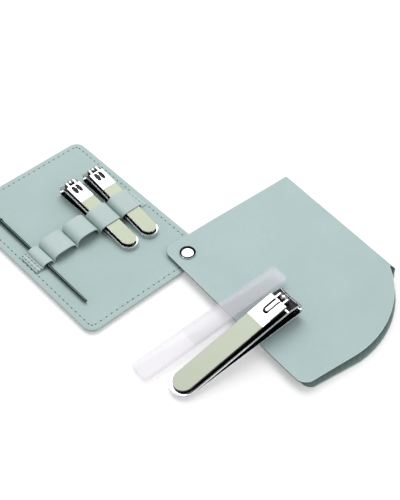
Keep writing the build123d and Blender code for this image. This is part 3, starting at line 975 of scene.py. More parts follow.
LAYERS = (
    Layer("back_skin", ("back_leather",), False, True, 0.3, 0.6, 0.0, 2.1, 0.2),
    Layer("back_lining_cloth", ("back_lining",), True, True, 0.75, 0.3, 0.25, 1.65, 0.06),
    Layer("flap_skin", ("flap_leather", "spine_strip"), False, False, 4.5, 0.6, 0.0, 2.1, 0.27),
    Layer("flap_lining_cloth", ("flap_lining",), True, False, 4.05, 0.3, 0.15, 1.65, 0.06),
)

# The snap's turned pieces, as radius and height. The cap's heights count from the flap's top.
CAP = (
    (0, 0.06), (2.0, 0.05), (2.95, 0.03), (3.1, 0.08), (3.95, 0.7), (4.05, 0.75), (4.2, 0.7), (4.3, 0.45),
    (4.3, 0.05), (4.2, 0.01), (1.3, 0.01), (1.3, -0.9), (0, -0.9),
)
# the dish's wall takes painted shade: these radii and this height mark it
CAP_WALL = (3.1, 4.02, 0.1)  # the dish's wall: between these radii, above this height
SOCKET = (
    (1.87, 2.85), (3.55, 2.82), (3.8, 2.92), (3.9, 3.15), (3.9, 3.6), (3.7, 3.85), (0, 3.88), (0, 3.72),
    (1.6, 3.7), (1.87, 3.55),
)
STUD = (
    (0, 0.26), (1.5, 0.26), (1.5, 0.9), (2.0, 0.92), (2.0, 2.68), (1.5, 2.7), (1.48, 2.85), (1.62, 2.97),
    (1.75, 3.15), (1.72, 3.4), (1.5, 3.58), (1.1, 3.65), (0, 3.66),
)
WASHER = ((0, 0), (3.7, 0), (3.95, 0.06), (4.0, 0.14), (3.95, 0.25), (0, 0.25))
EYELET = (
    (2.08, 1.0), (3.3, 1.0), (3.4, 1.1), (3.3, 1.25), (2.58, 1.25), (2.58, 2.5), (3.3, 2.5), (3.4, 2.58),
    (3.3, 2.68), (2.3, 2.7), (2.08, 2.6),
)


@dataclass
class Cover:
    """The folded cover: two leather skins that meet half way round the fold, their linings, and the snap."""

    maker: Maker
    finishes: Finishes
    left: float = -10.0
    right: float = 103.0  # past the nose, where the lines that a panel bends at end
    back_front: float = -5.6  # the back panel's opening edge
    fold_start: float = 74.0
    fold_right: float = 73.0
    fold_rise: float = 2.2  # how far up the fold its right end begins
    nose_foot: float = 98.0
    nose_side: tuple[float, float] = (100.2, 24.0)
    nose_top: tuple[float, float] = (75.0, 71.8)
    nose_sagitta: float = 7.0
    nose_steps: int = 24
    nose_spread: float = 2.0  # how far the back panel's nose stands out past the flap's
    notch: tuple[float, float] = (70.6, 74.4)
    corner: float = 5.5
    hole: float = 1.52
    pitches: tuple[float, float] = (4.0, 0.35)  # between the lines that a panel and the fold bend at
    fold_low: float = 2.4  # the height in the fold where it starts to follow the flap's lift
    fold_full: float = 0.3  # how far under its flat middle a layer follows it in full
    # faces turned to the opening get the edge's painted shade
    facing: float = 0.3  # how much of a face's normal turns it to the opening, as an edge
    puff: float = 0.42  # the flap's lift
    risen: float = 18.0  # how far from its opening edge it is reached
    nose_rise: tuple[float, float] = (72.0, 96.0)  # and along X, where the nose's corner rises
    held: tuple[float, float] = (9.0, 30.0)  # distances from the snap, from held down to free
    hump: float = 0.35  # how much more it lifts before the fold
    hump_rise: tuple[float, float] = (68.0, 73.0)

    def outline(self, layer: Layer, reach: float) -> Outline:
        """A layer's outline with its half of the fold.

        Args:
            layer: the layer.
            reach: how far it goes round the fold, measured flat.

        Returns:
            The outline, in X and the flat length.
        """
        d = layer.inset
        front = self.front(layer) + d
        spread = self.nose_spread if layer.up else 0
        drawn = Outline(self.left + d, front, self.corner - d)
        drawn.line(self.nose_foot - d + spread / 2, front, self.corner - d)
        drawn.line(self.nose_side[0] - d + spread, self.nose_side[1])
        top = (self.nose_top[0] - d + spread / 2, self.nose_top[1] - d + spread / 4)
        drawn.arc(*top, -self.nose_sagitta, self.nose_steps)
        if not layer.up:
            drawn.line(self.notch[0] - d, self.notch[1])
        drawn.line(self.fold_right - d, self.fold_start + self.fold_rise)
        drawn.line(self.fold_right - d, reach)
        drawn.line(self.left + d, reach)
        return drawn.hole(0, 0, self.hole)

    def front(self, layer: Layer) -> float:
        """The leather's opening edge, over or under a layer."""
        return self.back_front if layer.up else FLAP_FRONT

    def lift(self, x: float, y: float) -> float:
        """How far the flap stands off the flat at (x, y).

        Args:
            x: place along the opening edge.
            y: place back from the snap.

        Returns:
            The lift.
        """
        back = smooth(0, self.risen, y - FLAP_FRONT)
        corner = smooth(*self.nose_rise, x) * (1 - back)
        clear = smooth(*self.held, math.hypot(x, y))
        return self.puff * clear * (back + corner) + self.hump * smooth(*self.hump_rise, y)

    def skin(self, layer: Layer) -> BMesh:
        """Bends one layer of one half of the cover.

        Args:
            layer: the layer.

        Returns:
            The bent layer, in the row frame's millimetres.
        """
        start = self.front(layer) + layer.inset
        track = Track(start, layer.level).straight(self.fold_start - start)
        track.bend(90 if layer.up else -90, layer.radius)
        bm = plate(self.outline(layer, track.length), layer.thick, layer.rim, finish=1)
        # faces turned to the opening are painted dark, as the shade under the flap's edge
        for face in bm.faces:
            if face.normal.y < -self.facing:
                face.material_index = 2
        bmesh.ops.translate(bm, verts=bm.verts[:], vec=(0, 0, -layer.thick / 2))
        score(bm, Axis.Y, track.places(*self.pitches))
        score(bm, Axis.X, steps(self.left, self.right, self.pitches[0]))
        track.bend_blank(bm, Axis.Y)
        if layer.up:
            return bm
        for vert in bm.verts:
            past = vert.co.y > self.fold_start
            share = smooth(self.fold_low, layer.level - self.fold_full, vert.co.z) if past else 1.0
            vert.co.z += self.lift(vert.co.x, min(vert.co.y, self.fold_start)) * share
        return bm

    def build(self) -> None:
        """Builds the cover's leather, linings and snap."""
        f = self.finishes
        for layer in LAYERS:
            finish = [f.lining, f.lining, f.underside] if layer.cloth else [f.cover, f.rim, f.underside]
            slot = Slot.LINING if layer.cloth else Slot.COVER
            made = self.maker.piece(self.skin(layer), layer.name, ROOT, finish, slot, layer.nodes)
            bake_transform(made)
            length = self.fold_start - self.front(layer) + layer.radius * math.pi / 2
        self.snap()

    def snap(self) -> None:
        """Turns the snap's cap, socket, stud and washer, and the card's eyelet."""
        chrome = self.finishes.snap
        inner, outer, low = CAP_WALL
        dish = lathe([(radius, FLAP_TOP + height) for radius, height in CAP], 64)
        # the dish's wall takes the plating's painted shade
        for face in dish.faces:
            middle = face.calc_center_median()
            if middle.z > FLAP_TOP + low and inner < middle.xy.length < outer:
                face.material_index = 1
        finish = [chrome, self.finishes.painted_shade_plate]
        nodes = ["snap_cap"]
        self.maker.piece(dish, "snap_cap_dish", ROOT, finish, Slot.SNAP, nodes, "flap", crisp=False)
        for name, node, body, profile in (
            ("snap_socket_ring", "snap_socket", "flap", SOCKET),
            ("snap_stud_turned", "snap_stud", "back_cover", STUD),
            ("stud_washer_turned", "stud_washer", "back_cover", WASHER),
            ("card_eyelet_turned", "card_eyelet", "card", EYELET),
        ):
            self.maker.piece(lathe(profile), name, ROOT, [chrome], Slot.SNAP, [node], body)


# --- Tool card -----------------------------------------------------------------------------------------
@dataclass
class Card:
    """The stitched tool card, with its loop strap and the stitching that holds both."""

    maker: Maker
    finishes: Finishes
    length: float = 111.0
    width: float = 78.5
    corner: float = 5.5
    yaw: float = 3.45
    pivot: tuple[float, float] = (49.5, 28.65)
    hole: float = 2.58
    leather: float = 0.55
    bottom: float = 1.0
    thick: float = 1.5
    front_dips: Profile = (
        # how far in from the last, and the height there, from the cut edge to past the stitching
        (0.12, -0.2),
        (0.2, -0.1),
        (0.6, -0.03),
        (1.2, 0.03),
        (0.5, 0.0),
        (0.38, -0.1),
        (0.38, 0.0),
    )
    edge_dips: tuple[float, float] = (0.12, 0.14)  # fall of the front's and the back's very edge
    edge_widths: tuple[float, float] = (0.3, 0.12)  # how far in their cut edge shows
    back_rim: float = 0.2  # how far in the back's edge is rounded
    back_depths: tuple[float, float] = (0.95, 0.8)  # the back's thickness within and at its edge
    seam: float = 3.0
    seam_gap: float = 4.2  # how near the pivot the seam comes
    stitch_pitch: float = 3.38
    thread_reach: float = 1.5  # the longest gap that a thread crosses, in pitches
    hole_bead: tuple[float, float, float] = (0.62, 0.46, 0.13)  # half sizes
    hole_sunk: float = 0.11
    thread_bead: tuple[float, float, float] = (0.4, 0.2, 0.12)  # less than half the pitch, and half sizes
    thread_sunk: float = 0.1
    strap: float = 0.6
    strap_half: float = 6.7
    strap_middle: float = 1.0
    strap_rows: int = 7
    strap_lean: tuple[float, ...] = (0.0, 0.2, 0.3, 2.6, 2.6)  # how far each loop's crown leans to the tails
    strap_rim: float = 0.13
    tab: tuple[float, float] = (-35.8, -32.0)
    tab_rows: tuple[float, float] = (0.9, 2.8)  # its rows of stitches, from its fold
    end_row: float = 2.2  # the last row, past the last loop
    loops: tuple[tuple[float, float, float, float, float], ...] = (
        # start, end, outer height at the front and at the back, squareness
        (-32.0, -24.8, 3.2, 3.2, 0.72),
        (-24.8, -9.9, 4.7, 5.5, 0.62),
        (-9.9, 4.6, 6.1, 6.5, 0.6),
        (4.6, 18.6, 6.45, 7.85, 0.42),
        (18.6, 32.6, 6.45, 7.85, 0.42),
    )
    foot: float = 0.5
    clipper_loop: int = 3  # the first loop that holds a clipper
    strap_slope: float = 0.13  # how far the far walls of the clippers' loops slope in
    end: float = 36.2
    strap_stitch: float = 2.6  # pitch of the strap's stitches
    strap_thread_bead: tuple[float, float, float] = (1.0, 0.34, 0.26)
    strap_hole_bead: tuple[float, float, float] = (0.42, 0.46, 0.12)
    strap_sunk: float = 0.02  # how far its holes lie in, and its stitches stand out

    @property
    def middle(self) -> Matrix:
        """The seat of the card's middle, on the table side of the card."""
        return seat(seat(ROOT, z=self.bottom, yaw=self.yaw), -self.pivot[0], -self.pivot[1])

    @property
    def top(self) -> Matrix:
        """The seat of the card's middle, on its top."""
        return seat(self.middle, z=self.thick)

    def add_leather(self, bm: BMesh, name: str, place: Matrix, node: str, edge: float) -> None:
        """Adds one of the card's leathers.

        Args:
            bm: its mesh.
            name: the piece's name.
            place: its seat.
            node: the CAD node that it stands for.
            edge: how far in its cut edge shows.
        """
        for face in bm.faces:
            middle = face.calc_center_median()
            outer = max(abs(middle.x) - self.length / 2, abs(middle.y) - self.width / 2)
            if outer > -edge:
                face.material_index = 1
        finish = [self.finishes.card, self.finishes.edge]
        made = self.maker.piece(bm, name, place, finish, Slot.CARD, [node], "card")

    def front(self) -> None:
        """The front leather, which dips to its stitched edge."""
        bm = oblong(-self.length / 2, self.length / 2, self.width / 2, self.corner).fill(12)
        face = bm.faces[:][0]
        for width, level in self.front_dips:
            bmesh.ops.inset_region(
                bm, faces=[face], thickness=width, use_even_offset=True, use_boundary=True
            )
            for vert in face.verts:
                vert.co.z = level
        rim = min(v.co.z for v in bm.verts if v not in face.verts)
        for vert in bm.verts:
            if vert.is_boundary:
                vert.co.z = rim - self.edge_dips[0]
        drill(bm, face, [(*self.pivot, self.hole)])
        made = bmesh.ops.extrude_face_region(bm, geom=bm.faces[:])
        for vert in verts_of(made["geom"]):
            vert.co.z = -self.leather
        self.add_leather(bm, "card_front_leather", self.top, "card_front", self.edge_widths[0])

    def back(self) -> None:
        """The back leather, with the board's pocket under the front leather."""
        bm = oblong(-self.length / 2, self.length / 2, self.width / 2, self.corner).fill(12)
        face = bm.faces[:][0]
        bmesh.ops.inset_region(
            bm, faces=[face], thickness=self.back_rim, use_even_offset=True, use_boundary=True
        )
        for vert in bm.verts:
            vert.co.z = -self.edge_dips[1] if vert.is_boundary else 0
        drill(bm, face, [(*self.pivot, self.hole)])
        made = bmesh.ops.extrude_face_region(bm, geom=bm.faces[:])
        within, rim = self.back_depths
        for vert in verts_of(made["geom"]):
            vert.co.z = -rim if vert.co.z < 0 else -within
        place = seat(self.middle, z=self.thick - self.leather)
        self.add_leather(bm, "card_back_leather", place, "card_back", self.edge_widths[1])

    def seam_places(self) -> list[tuple[Vector, float]]:
        """Where each needle hole of the perimeter is on the card, and the seam's direction there."""
        x, y, r = self.length / 2 - self.seam, self.width / 2 - self.seam, self.corner - self.seam
        corners = [(-x, -y), (x, -y), (x, y), (-x, y)]
        places: list[tuple[Vector, float]] = []
        for i, (a, b) in enumerate(zip(corners, corners[1:] + corners[:1])):
            run = Vector(b) - Vector(a)
            heading = math.atan2(run.y, run.x)
            length = run.length - 2 * r
            count = round(length / self.stitch_pitch)
            for k in range(count + 1):
                point = Vector(a) + run.normalized() * (r + length * k / count)
                places.append((Vector((point.x, point.y, 0)), heading))
            turn = heading + math.pi / 4
            centre = Vector(b) - run.normalized() * r + Vector((-run.y, run.x)).normalized() * r
            point = centre + Vector((math.cos(turn - math.pi / 2), math.sin(turn - math.pi / 2))) * r
            places.append((Vector((point.x, point.y, 0)), turn))
        return [p for p in places if (p[0].xy - Vector(self.pivot)).length > self.seam_gap]

    def stitching(self) -> None:
        """Sews the perimeter: a needle hole's painted shade at each place, a thread between two of them."""
        places = self.seam_places()
        holes = bmesh.new()
        for point, heading in places:
            at = Matrix.Translation(point + Vector((0, 0, -self.hole_sunk)))
            bead(holes, at @ Matrix.Rotation(heading, 4, "Z"), self.hole_bead, along=4)
        pit = [self.finishes.pit]
        self.maker.piece(holes, "card_needle_holes", self.top, pit, Slot.CARD, body="card", crisp=False)
        threads = bmesh.new()
        short, wide, high = self.thread_bead
        for (point, _), (after, _) in zip(places, places[1:] + places[:1]):
            gap = after - point
            if gap.length > self.stitch_pitch * self.thread_reach:
                continue
            at = Matrix.Translation((point + after) / 2 + Vector((0, 0, -self.thread_sunk)))
            turn = Matrix.Rotation(math.atan2(gap.y, gap.x), 4, "Z")
            bead(threads, at @ turn, (gap.length / 2 - short, wide, high))
        self.add_thread(threads, "card_stitches", "card_seam")

    def add_thread(self, bm: BMesh, name: str, node: str) -> None:
        """Adds a row of stitches."""
        finish = [self.finishes.thread]
        self.maker.piece(bm, name, self.top, finish, Slot.THREAD, [node], "card", crisp=False)

    def strap_point(self, loop: int, share: float, across: float) -> tuple[float, float]:
        """Middle of the strap's thickness in one loop.

        Args:
            loop: which loop.
            share: how far along the loop, from 0 to 1.
            across: place across the strap, from -1 at the heads' side to 1 at the tails'.

        Returns:
            The place across the card, and the height above it.
        """
        start, end, front, back, power = self.loops[loop]
        half = self.strap / 2
        low = 1.5 * self.strap if loop == 0 and share < 0.5 else half
        top = back + (front - back) * (across + 1) / 2 - half
        angle = math.pi * (1 - share)
        reach = (end - start) / 2 - self.foot / 2 - half * 0.6
        wide = math.copysign(abs(math.cos(angle)) ** power, math.cos(angle))
        rise = math.sin(angle) ** power
        if loop >= self.clipper_loop and wide > 0:
            reach *= 1 - self.strap_slope * rise
        return (start + end) / 2 + reach * wide, low + (top - low) * rise

    def strap_line(self, across: float, fine: int = 28) -> list[tuple[float, float]]:
        """The strap's middle from its folded tab to its other end.

        Args:
            across: place across the strap, from -1 at the heads' side to 1.
            fine: steps in each loop.

        Returns:
            The places across the card, and the heights above it.
        """
        half = self.strap / 2
        start, stop = self.tab
        middle = (start + stop) / 2
        upper = 3 * half + 0.02
        line = [(stop - 0.4, half), (middle, half), (start + 0.55, half), (start + 0.22, half + 0.12)]
        line += [(start + 0.12, 2 * half), (start + 0.22, 3 * half - 0.12), (start + 0.55, upper)]
        line += [(middle + 0.2, upper), (stop - 0.6, 3 * half)]
        for loop in range(len(self.loops)):
            line += [self.strap_point(loop, k / fine, across) for k in range(fine + 1)]
        last = self.loops[-1][1]
        return line + [(last + 0.9, half), ((last + self.end) / 2, half), (self.end, half)]

    def strap_piece(self) -> None:
        """Folds the strap into its tab and five loops."""
        gaps = self.strap_rows - 1
        rows = [i / gaps * 2 - 1 for i in range(self.strap_rows)]
        lines = [self.strap_line(a) for a in rows]
        count = len(lines[0]) - 1
        bm = plate(oblong(0, count, 1), self.strap, 0, finish=1)
        score(bm, Axis.X, range(1, count))
        score(bm, Axis.Y, rows[1:-1])
        # the underside takes the painted shade of the loops' insides
        for face in bm.faces:
            if face.normal.z < -STEEP:
                face.material_index = 2
        for vert in bm.verts:
            step = min(count, round(vert.co.x))
            line = min(zip(rows, lines), key=lambda row: abs(row[0] - vert.co.y))[1]
            here = Vector(line[step])
            run = Vector(line[min(count, step + 1)]) - Vector(line[max(0, step - 1)])
            normal = Vector((-run.y, run.x)).normalized()
            point = here + normal * (vert.co.z - self.strap / 2)
            lean = sum(
                tip * min(1.0, here.y / front)
                for tip, (start, end, front, *_) in zip(self.strap_lean, self.loops)
                if start < here.x < end
            )
            vert.co = (self.strap_middle + lean + vert.co.y * self.strap_half, point.x, point.y)
        bmesh.ops.reverse_faces(bm, faces=bm.faces[:])
        finish = [self.finishes.strap, self.finishes.edge, self.finishes.inside]
        nodes = ["loop_strap"]
        made = self.maker.piece(
            bm, "loop_strap_leather", self.top, finish, Slot.CARD, nodes, "card", crisp=False
        )
        soft = made.modifiers.new("soft_rim", "BEVEL")
        soft.width = self.strap_rim * MM
        soft.segments = 2
        soft.limit_method = "ANGLE"
        soft.angle_limit = math.radians(60)

    def strap_stitches(self) -> None:
        """Sews the strap down: two rows on its tab, one in each valley between loops and one at its end."""
        bm = bmesh.new()
        double = 2 * self.strap
        rows = [(self.tab[0] + row, double) for row in self.tab_rows]
        rows += [(start, self.strap) for start, *_ in self.loops[1:]]
        rows.append((self.loops[-1][1] + self.end_row, self.strap))
        for across, height in rows:
            for k in range(-2, 3):
                along = self.strap_middle + k * self.strap_stitch
                place = Matrix.Translation((along, across, height + self.strap_sunk))
                bead(bm, place, self.strap_thread_bead)
        self.add_thread(bm, "strap_stitches", "strap_seam")
        # the needle holes on the tab are dark beads of painted shade
        holes = bmesh.new()
        for across, height in rows[:2]:
            for k in range(-2, 4):
                along = self.strap_middle + (k - 0.5) * self.strap_stitch
                place = Matrix.Translation((along, across, height - self.strap_sunk))
                bead(holes, place, self.strap_hole_bead, along=4)
        pit = [self.finishes.pit]
        self.maker.piece(holes, "strap_needle_holes", self.top, pit, Slot.CARD, body="card", crisp=False)

    def build(self) -> None:
        """Builds the card's leathers, its stitching and its strap."""
        self.front()
        self.back()
        self.stitching()
        self.strap_piece()
        self.strap_stitches()


# --- Tools ---------------------------------------------------------------------------------------------
PICK_SHAFT = ((0, 0), (0.45, 0), (0.68, 0.12), (0.76, 0.4), (0.85, 24), (0.96, 60), (1.0, 72), (0, 72))
PICK_HEAD = (
    (0, 0), (1.15, 0.02), (1.33, 0.25), (1.35, 0.7), (1.25, 1.2), (0.95, 2.0), (0.7, 2.9), (0.65, 5),
    (0.65, 9), (0, 9.2),
)


@dataclass
class Pick:
    """The thin pick in the card's narrow loop."""

    maker: Maker
    finishes: Finishes
    place: Matrix
    neck: float = 9.0
    scoop: float = 1.9
    wall: float = 0.4
    scoop_back: float = 0.855  # how far behind the neck the scoop's opening lies
    sides: int = 24

    def build(self) -> None:
        """Turns the shaft, and turns and cups the head."""
        lay = self.place @ Matrix.Rotation(math.radians(90), 4, "Y")
        plating = [self.finishes.pick]
        bm = lathe(PICK_SHAFT, self.sides)
        self.maker.piece(
            bm, "pick_shaft_turned", lay, plating, Slot.STEEL, ["pick_shaft"], "pick", crisp=False
        )
        bm = lathe(PICK_HEAD, self.sides)
        cup = bmesh.new()
        bmesh.ops.create_uvsphere(cup, u_segments=self.sides, v_segments=12, radius=self.scoop)
        geom = cup.verts[:] + cup.edges[:] + cup.faces[:]
        bmesh.ops.bisect_plane(cup, geom=geom, plane_co=(0, 0, 0), plane_no=(1, 0, 0), clear_inner=True)
        bmesh.ops.solidify(cup, geom=cup.faces[:], thickness=self.wall)
        merge(bm, cup, Matrix.Translation((-self.scoop_back, 0, self.neck + self.scoop * 0.7)))
        lay = lay @ Matrix.Translation((0, 0, PICK_SHAFT[-1][1]))
        self.maker.piece(
            bm, "pick_head_scoop", lay, plating, Slot.STEEL, ["pick_head"], "pick", crisp=False
        )


@dataclass(frozen=True)
class ClipperSize:
    """Sizes of one nail clipper, along it from the tail and up from its underside."""

    length: float
    tail: float  # width at the tail
    head: float  # width at the jaws
    arm: float
    gap: float
    spread: float  # where the arms part
    knee: float
    jaw: float  # height over both jaws
    jaw_gap: float
    hollow: float  # how far the cutting edge curves in
    lever_width: float
    lever: float
    lever_start: float
    lever_end: float
    lever_gap: float
    lever_top: float
    boss: tuple[float, float, float]  # length, width and height of the lever's pressed head
    inlay_end: float
    post_x: float
    post_radius: float
    post_top: float
    bar: float
    leaf: tuple[float, float, float, float] = (0.0, 0.0, 0.0, 0.0)  # back, aside, half length and width
    dip: float = 8.0  # the upper jaw's fall to its lip, in degrees

    @property
    def lever_tail(self) -> float:
        """Height of the lever's underside at its tail."""
        return 2 * self.arm + self.gap + self.lever_gap

    @property
    def pitch(self) -> float:
        """The lever's climb, in degrees."""
        rise = self.lever_top - self.lever - self.lever_tail
        return math.degrees(math.atan2(rise, self.lever_end - self.lever_start))


LARGE = ClipperSize(
    length=75.3, tail=13.4, head=13.7, arm=1.3, gap=0.15, spread=9.0, knee=67.0, jaw=8.0, jaw_gap=1.4,
    hollow=0.5, lever_width=11.3, lever=1.1, lever_start=1.7, lever_end=66.8, lever_gap=0.3,
    lever_top=12.3, boss=(9.5, 3.6, 0.5), inlay_end=52.0, post_x=69.7, post_radius=1.9, post_top=1.8,
    bar=10.6,
)
SMALL = ClipperSize(
    length=56.4, tail=9.9, head=10.2, arm=1.1, gap=0.15, spread=7.0, knee=49.5, jaw=6.4, jaw_gap=1.3,
    hollow=0.4, lever_width=8.6, lever=1.0, lever_start=1.1, lever_end=50.6, lever_gap=0.35,
    lever_top=9.0, boss=(7.0, 2.8, 0.4), inlay_end=38.8, post_x=53.1, post_radius=1.5, post_top=1.4,
    bar=7.9, leaf=(3.7, 1.35, 2.8, 1.15),
)


@dataclass
class Clipper:
    """One nail clipper: two sprung arms, the post with its cross bar, and the lever with its inlay."""

    maker: Maker
    finishes: Finishes
    name: str
    size: ClipperSize
    place: Matrix
    bodies: dict[str, str]
    inlay: Material
    corner: float = 0.3  # of an arm's and the inlay's blank
    edge: float = 0.16
    turn: float = 1.1  # radius of an arm's turn into its jaw
    knee_bend: float = 12.0  # radius of the upper arm's two bends
    pitches: tuple[float, float] = (6.0, 0.25)  # between the lines that an arm's runs and bends bend at
    jaw_zone: float = 6.2  # how far back from the end an arm is scored along it
    hollow_zone: tuple[float, float] = (6.0, 1.0)  # and where its edge's hollow starts and is full
    lance: float = 0.4  # half width of the cut round the lever's tongue
    lip: float = 3.1  # how much of the upper jaw's top is left bright; behind it lies painted shade
    crown: float = 0.1  # the upper jaw's rise at its knee, as a share of the jaws' height
    bar_radius: float = 0.85
    ear: float = 1.1
    ear_gap: float = 0.15
    ear_radius: float = 1.47
    ear_rim: float = 0.18
    lever_corner: float = 0.5
    lever_rim: float = 0.22
    lever_pitches: tuple[float, float] = (0.22, 0.2)  # between the lines along and across its head
    lever_side: float = 0.95  # how far out they go, as a share of the boss's width
    lever_cut: float = 0.6  # how far back from its end its walls go without painted shade
    pressed: float = 1.2  # how far behind its head the lever starts to be pressed
    film: float = 0.16  # the inlay's thickness
    film_rim: float = 0.07
    rim: float = 0.24  # of the lever round its inlay

    def add(self, bm: BMesh, part: str, label: str, place: Matrix | None = None) -> None:
        """Adds one piece of the clipper, which stands for the CAD node of that part.

        Args:
            bm: its mesh.
            part: the part, as the CAD node and the body are named.
            label: the end of the piece's name.
            place: its seat, or None for the clipper's own.
        """
        # the plating, its painted shade and its painted highlight, by face index
        plating = [self.finishes.steel, self.finishes.painted_shade_plate, self.finishes.cut]
        finishes, slot = ([self.inlay], Slot.INLAY) if part == "inlay" else (plating, Slot.STEEL)
        node, body = f"{self.name}_{part}", self.bodies[part]
        self.maker.piece(bm, f"{self.name}_{label}", place or self.place, finishes, slot, [node], body)

    @staticmethod
    def finish_blank(bm: BMesh, end: float, up: bool, wall: int) -> None:
        """Gives the hidden side of a flat blank painted shade up to that length, and its walls their finish.

        Args:
            bm: the blank.
            end: where both end.
            up: whether the hidden side is the upper one.
            wall: the walls' material.
        """
        for face in bm.faces:
            if face.calc_center_median().x > end:
                continue
            if abs(face.normal.z) < 0.3:
                face.material_index = wall
            elif face.normal.z * (1 if up else -1) > FLAT:
                face.material_index = 1

    def arm(self, track: Track, up: bool) -> BMesh:
        """Bends one arm along its track, and hollows its cutting edge in.

        Args:
            track: the line of the arm's middle.
            up: whether its hidden side is the upper one.

        Returns:
            The arm.
        """
        s = self.size
        zone = s.length - self.jaw_zone
        drawn = round_tailed(track.length, s.head / 2, s.tail / 2, s.tail / 2, self.corner)
        bm = plate(drawn, s.arm, self.edge, 4)
        bmesh.ops.translate(bm, verts=bm.verts[:], vec=(0, 0, -s.arm / 2))
        score(bm, Axis.X, track.places(*self.pitches) + [zone])
        score(bm, Axis.Y, steps(-s.head / 2, s.head / 2, s.head / 8), zone)
        start, full = (s.length - back for back in self.hollow_zone)
        # walls take the plating's painted highlight, the hidden side its painted shade
        self.finish_blank(bm, full, up, 2)
        # the upper jaw's top behind its lip takes painted shade
        for face in bm.faces:
            on_top = not up and face.normal.z > FLAT
            if on_top and s.knee - 1 < face.calc_center_median().x < s.length - self.lip:
                face.material_index = 1
        track.bend_blank(bm, Axis.X)
        for vert in bm.verts:
            across = min(1.0, abs(vert.co.y) / (s.head / 2))
            vert.co.x -= s.hollow * (1 - across * across) * smooth(start, full, vert.co.x)
        return bm

    def arms(self) -> None:
        """Bends the lower and the upper arm."""
        s = self.size
        half = s.arm / 2
        cut = (s.jaw - s.jaw_gap) / 2
        low = Track(0, half).straight(s.length - half - self.turn)
        low.bend(90, self.turn).straight(cut - half - self.turn)
        self.add(self.arm(low, True), "lower_arm", "lower_arm_pressed")
        rise = s.jaw - s.arm - (s.arm + s.gap)
        slope = math.degrees(math.atan2(rise, s.knee - s.spread))
        high = s.jaw - half
        up = Track(0, s.arm + s.gap + half).straight(s.spread - 1).bend(slope, self.knee_bend)
        taken = 2 * self.knee_bend * math.tan(math.radians(slope / 2))
        up.straight(math.hypot(rise, s.knee - s.spread) - taken + 1).bend(-slope - s.dip, self.knee_bend)
        end = up.at(up.length)[0]
        up.straight((s.length - half - self.turn - end.x) / math.cos(math.radians(s.dip)))
        up.bend(s.dip - 90, self.turn)
        lift = high - end.y + self.crown * s.jaw
        up.straight(up.at(up.length)[0].y + lift - (s.jaw + s.jaw_gap) / 2)
        bm = self.arm(up, False)
        for vert in bm.verts:
            vert.co.z += lift * smooth(s.spread, s.knee, vert.co.x)
        self.add(bm, "upper_arm", "upper_arm_pressed")

    def post(self) -> None:
        """Turns the post and its cross bar."""
        s = self.size
        r, top = s.post_radius, s.bar + s.post_top
        dome = r * 0.6
        profile = [(0, 0.05), (r + 0.7, 0.05), (r + 0.95, 0.2), (r + 0.9, 0.42), (r, 0.5), (r, s.jaw + 0.4)]
        profile += [(r * 0.8, s.jaw + 0.7), (r * 0.8, s.jaw + 1.0), (r, s.jaw + 1.25), (r, top - dome)]
        profile += [(r * math.cos(a), top - dome + dome * math.sin(a)) for a in (0.4, 0.8, 1.2)]
        bm = lathe([*profile, (0, top)], 32)
        bmesh.ops.translate(bm, verts=bm.verts[:], vec=(s.post_x, 0, 0))
        reach = r + 2 * self.ear_gap + self.ear
        b, tip = self.bar_radius, self.bar_radius * 0.6
        ends = [(0, -reach), (tip, -reach), (b, -reach + 0.3), (b, reach - 0.3), (tip, reach), (0, reach)]
        across = Matrix.Rotation(math.radians(90), 4, "X")
        merge(bm, lathe(ends, 20), Matrix.Translation((s.post_x, 0, s.bar)) @ across)
        self.add(bm, "post", "post_turned")

    def press(self, x: float, y: float, end: float) -> tuple[float, float]:
        """How the lever's head is pressed at (x, y).

        Args:
            x: place along the lever.
            y: place across it.
            end: the lever's length.

        Returns:
            Its rise, and how much of a cut it is, from 0 to 1.
        """
        s = self.size
        long, wide, high = s.boss
        back, aside, reach, broad = s.leaf
        if reach:
            along = x - end + back
            leaf = 1 - smooth(0.75, 1.05, math.hypot(along / reach, (abs(y) - aside) / broad))
            dome = 1 - smooth(0.5, 1.0, math.hypot(along / (reach + 0.9), y / (2 * aside)))
            return high * (0.5 * dome - 1.2 * leaf), leaf
        away = math.hypot(max(0.0, end - long + wide / 2 - x), y) - wide * 0.42
        tongue = 1 - smooth(-0.35, 0.1, away)
        cut = math.exp(-((away / self.lance) ** 2))
        cut *= smooth(end - 0.4, end - 1.6, x) * smooth(-wide * 0.5, -wide * 0.2, y)
        return high * (0.8 * tongue - cut), cut

    def ears(self, into: BMesh, place: Matrix) -> None:
        """Adds the lever's two ears, which run from its head to the cross bar.

        Args:
            into: the lever's mesh.
            place: the clipper's seat in the lever's own.
        """
        s = self.size
        round_bar = (s.post_x, s.bar, self.ear_radius)
        under_head = (s.lever_end - s.lever, s.lever_top - s.lever, s.lever / 2)
        for side in (-1, 1):
            ear = bmesh.new()
            across = side * (s.post_radius + self.ear_gap + self.ear / 2)
            for x, z, r in (round_bar, under_head):
                at = Matrix.Translation((x, across, z)) @ Matrix.Rotation(math.radians(90), 4, "X")
                bmesh.ops.create_cone(
                    ear, cap_ends=True, segments=28, radius1=r, radius2=r, depth=self.ear, matrix=at
                )
            hull = bmesh.ops.convex_hull(ear, input=ear.verts[:])
            junk = verts_of(dict.fromkeys([*hull["geom_interior"], *hull["geom_unused"]]))
            bmesh.ops.delete(ear, geom=junk, context="VERTS")
            bmesh.ops.dissolve_limit(ear, angle_limit=0.01, verts=ear.verts[:], edges=ear.edges[:])
            round_edges(ear, self.ear_rim, over=60)
            merge(into, ear, place)

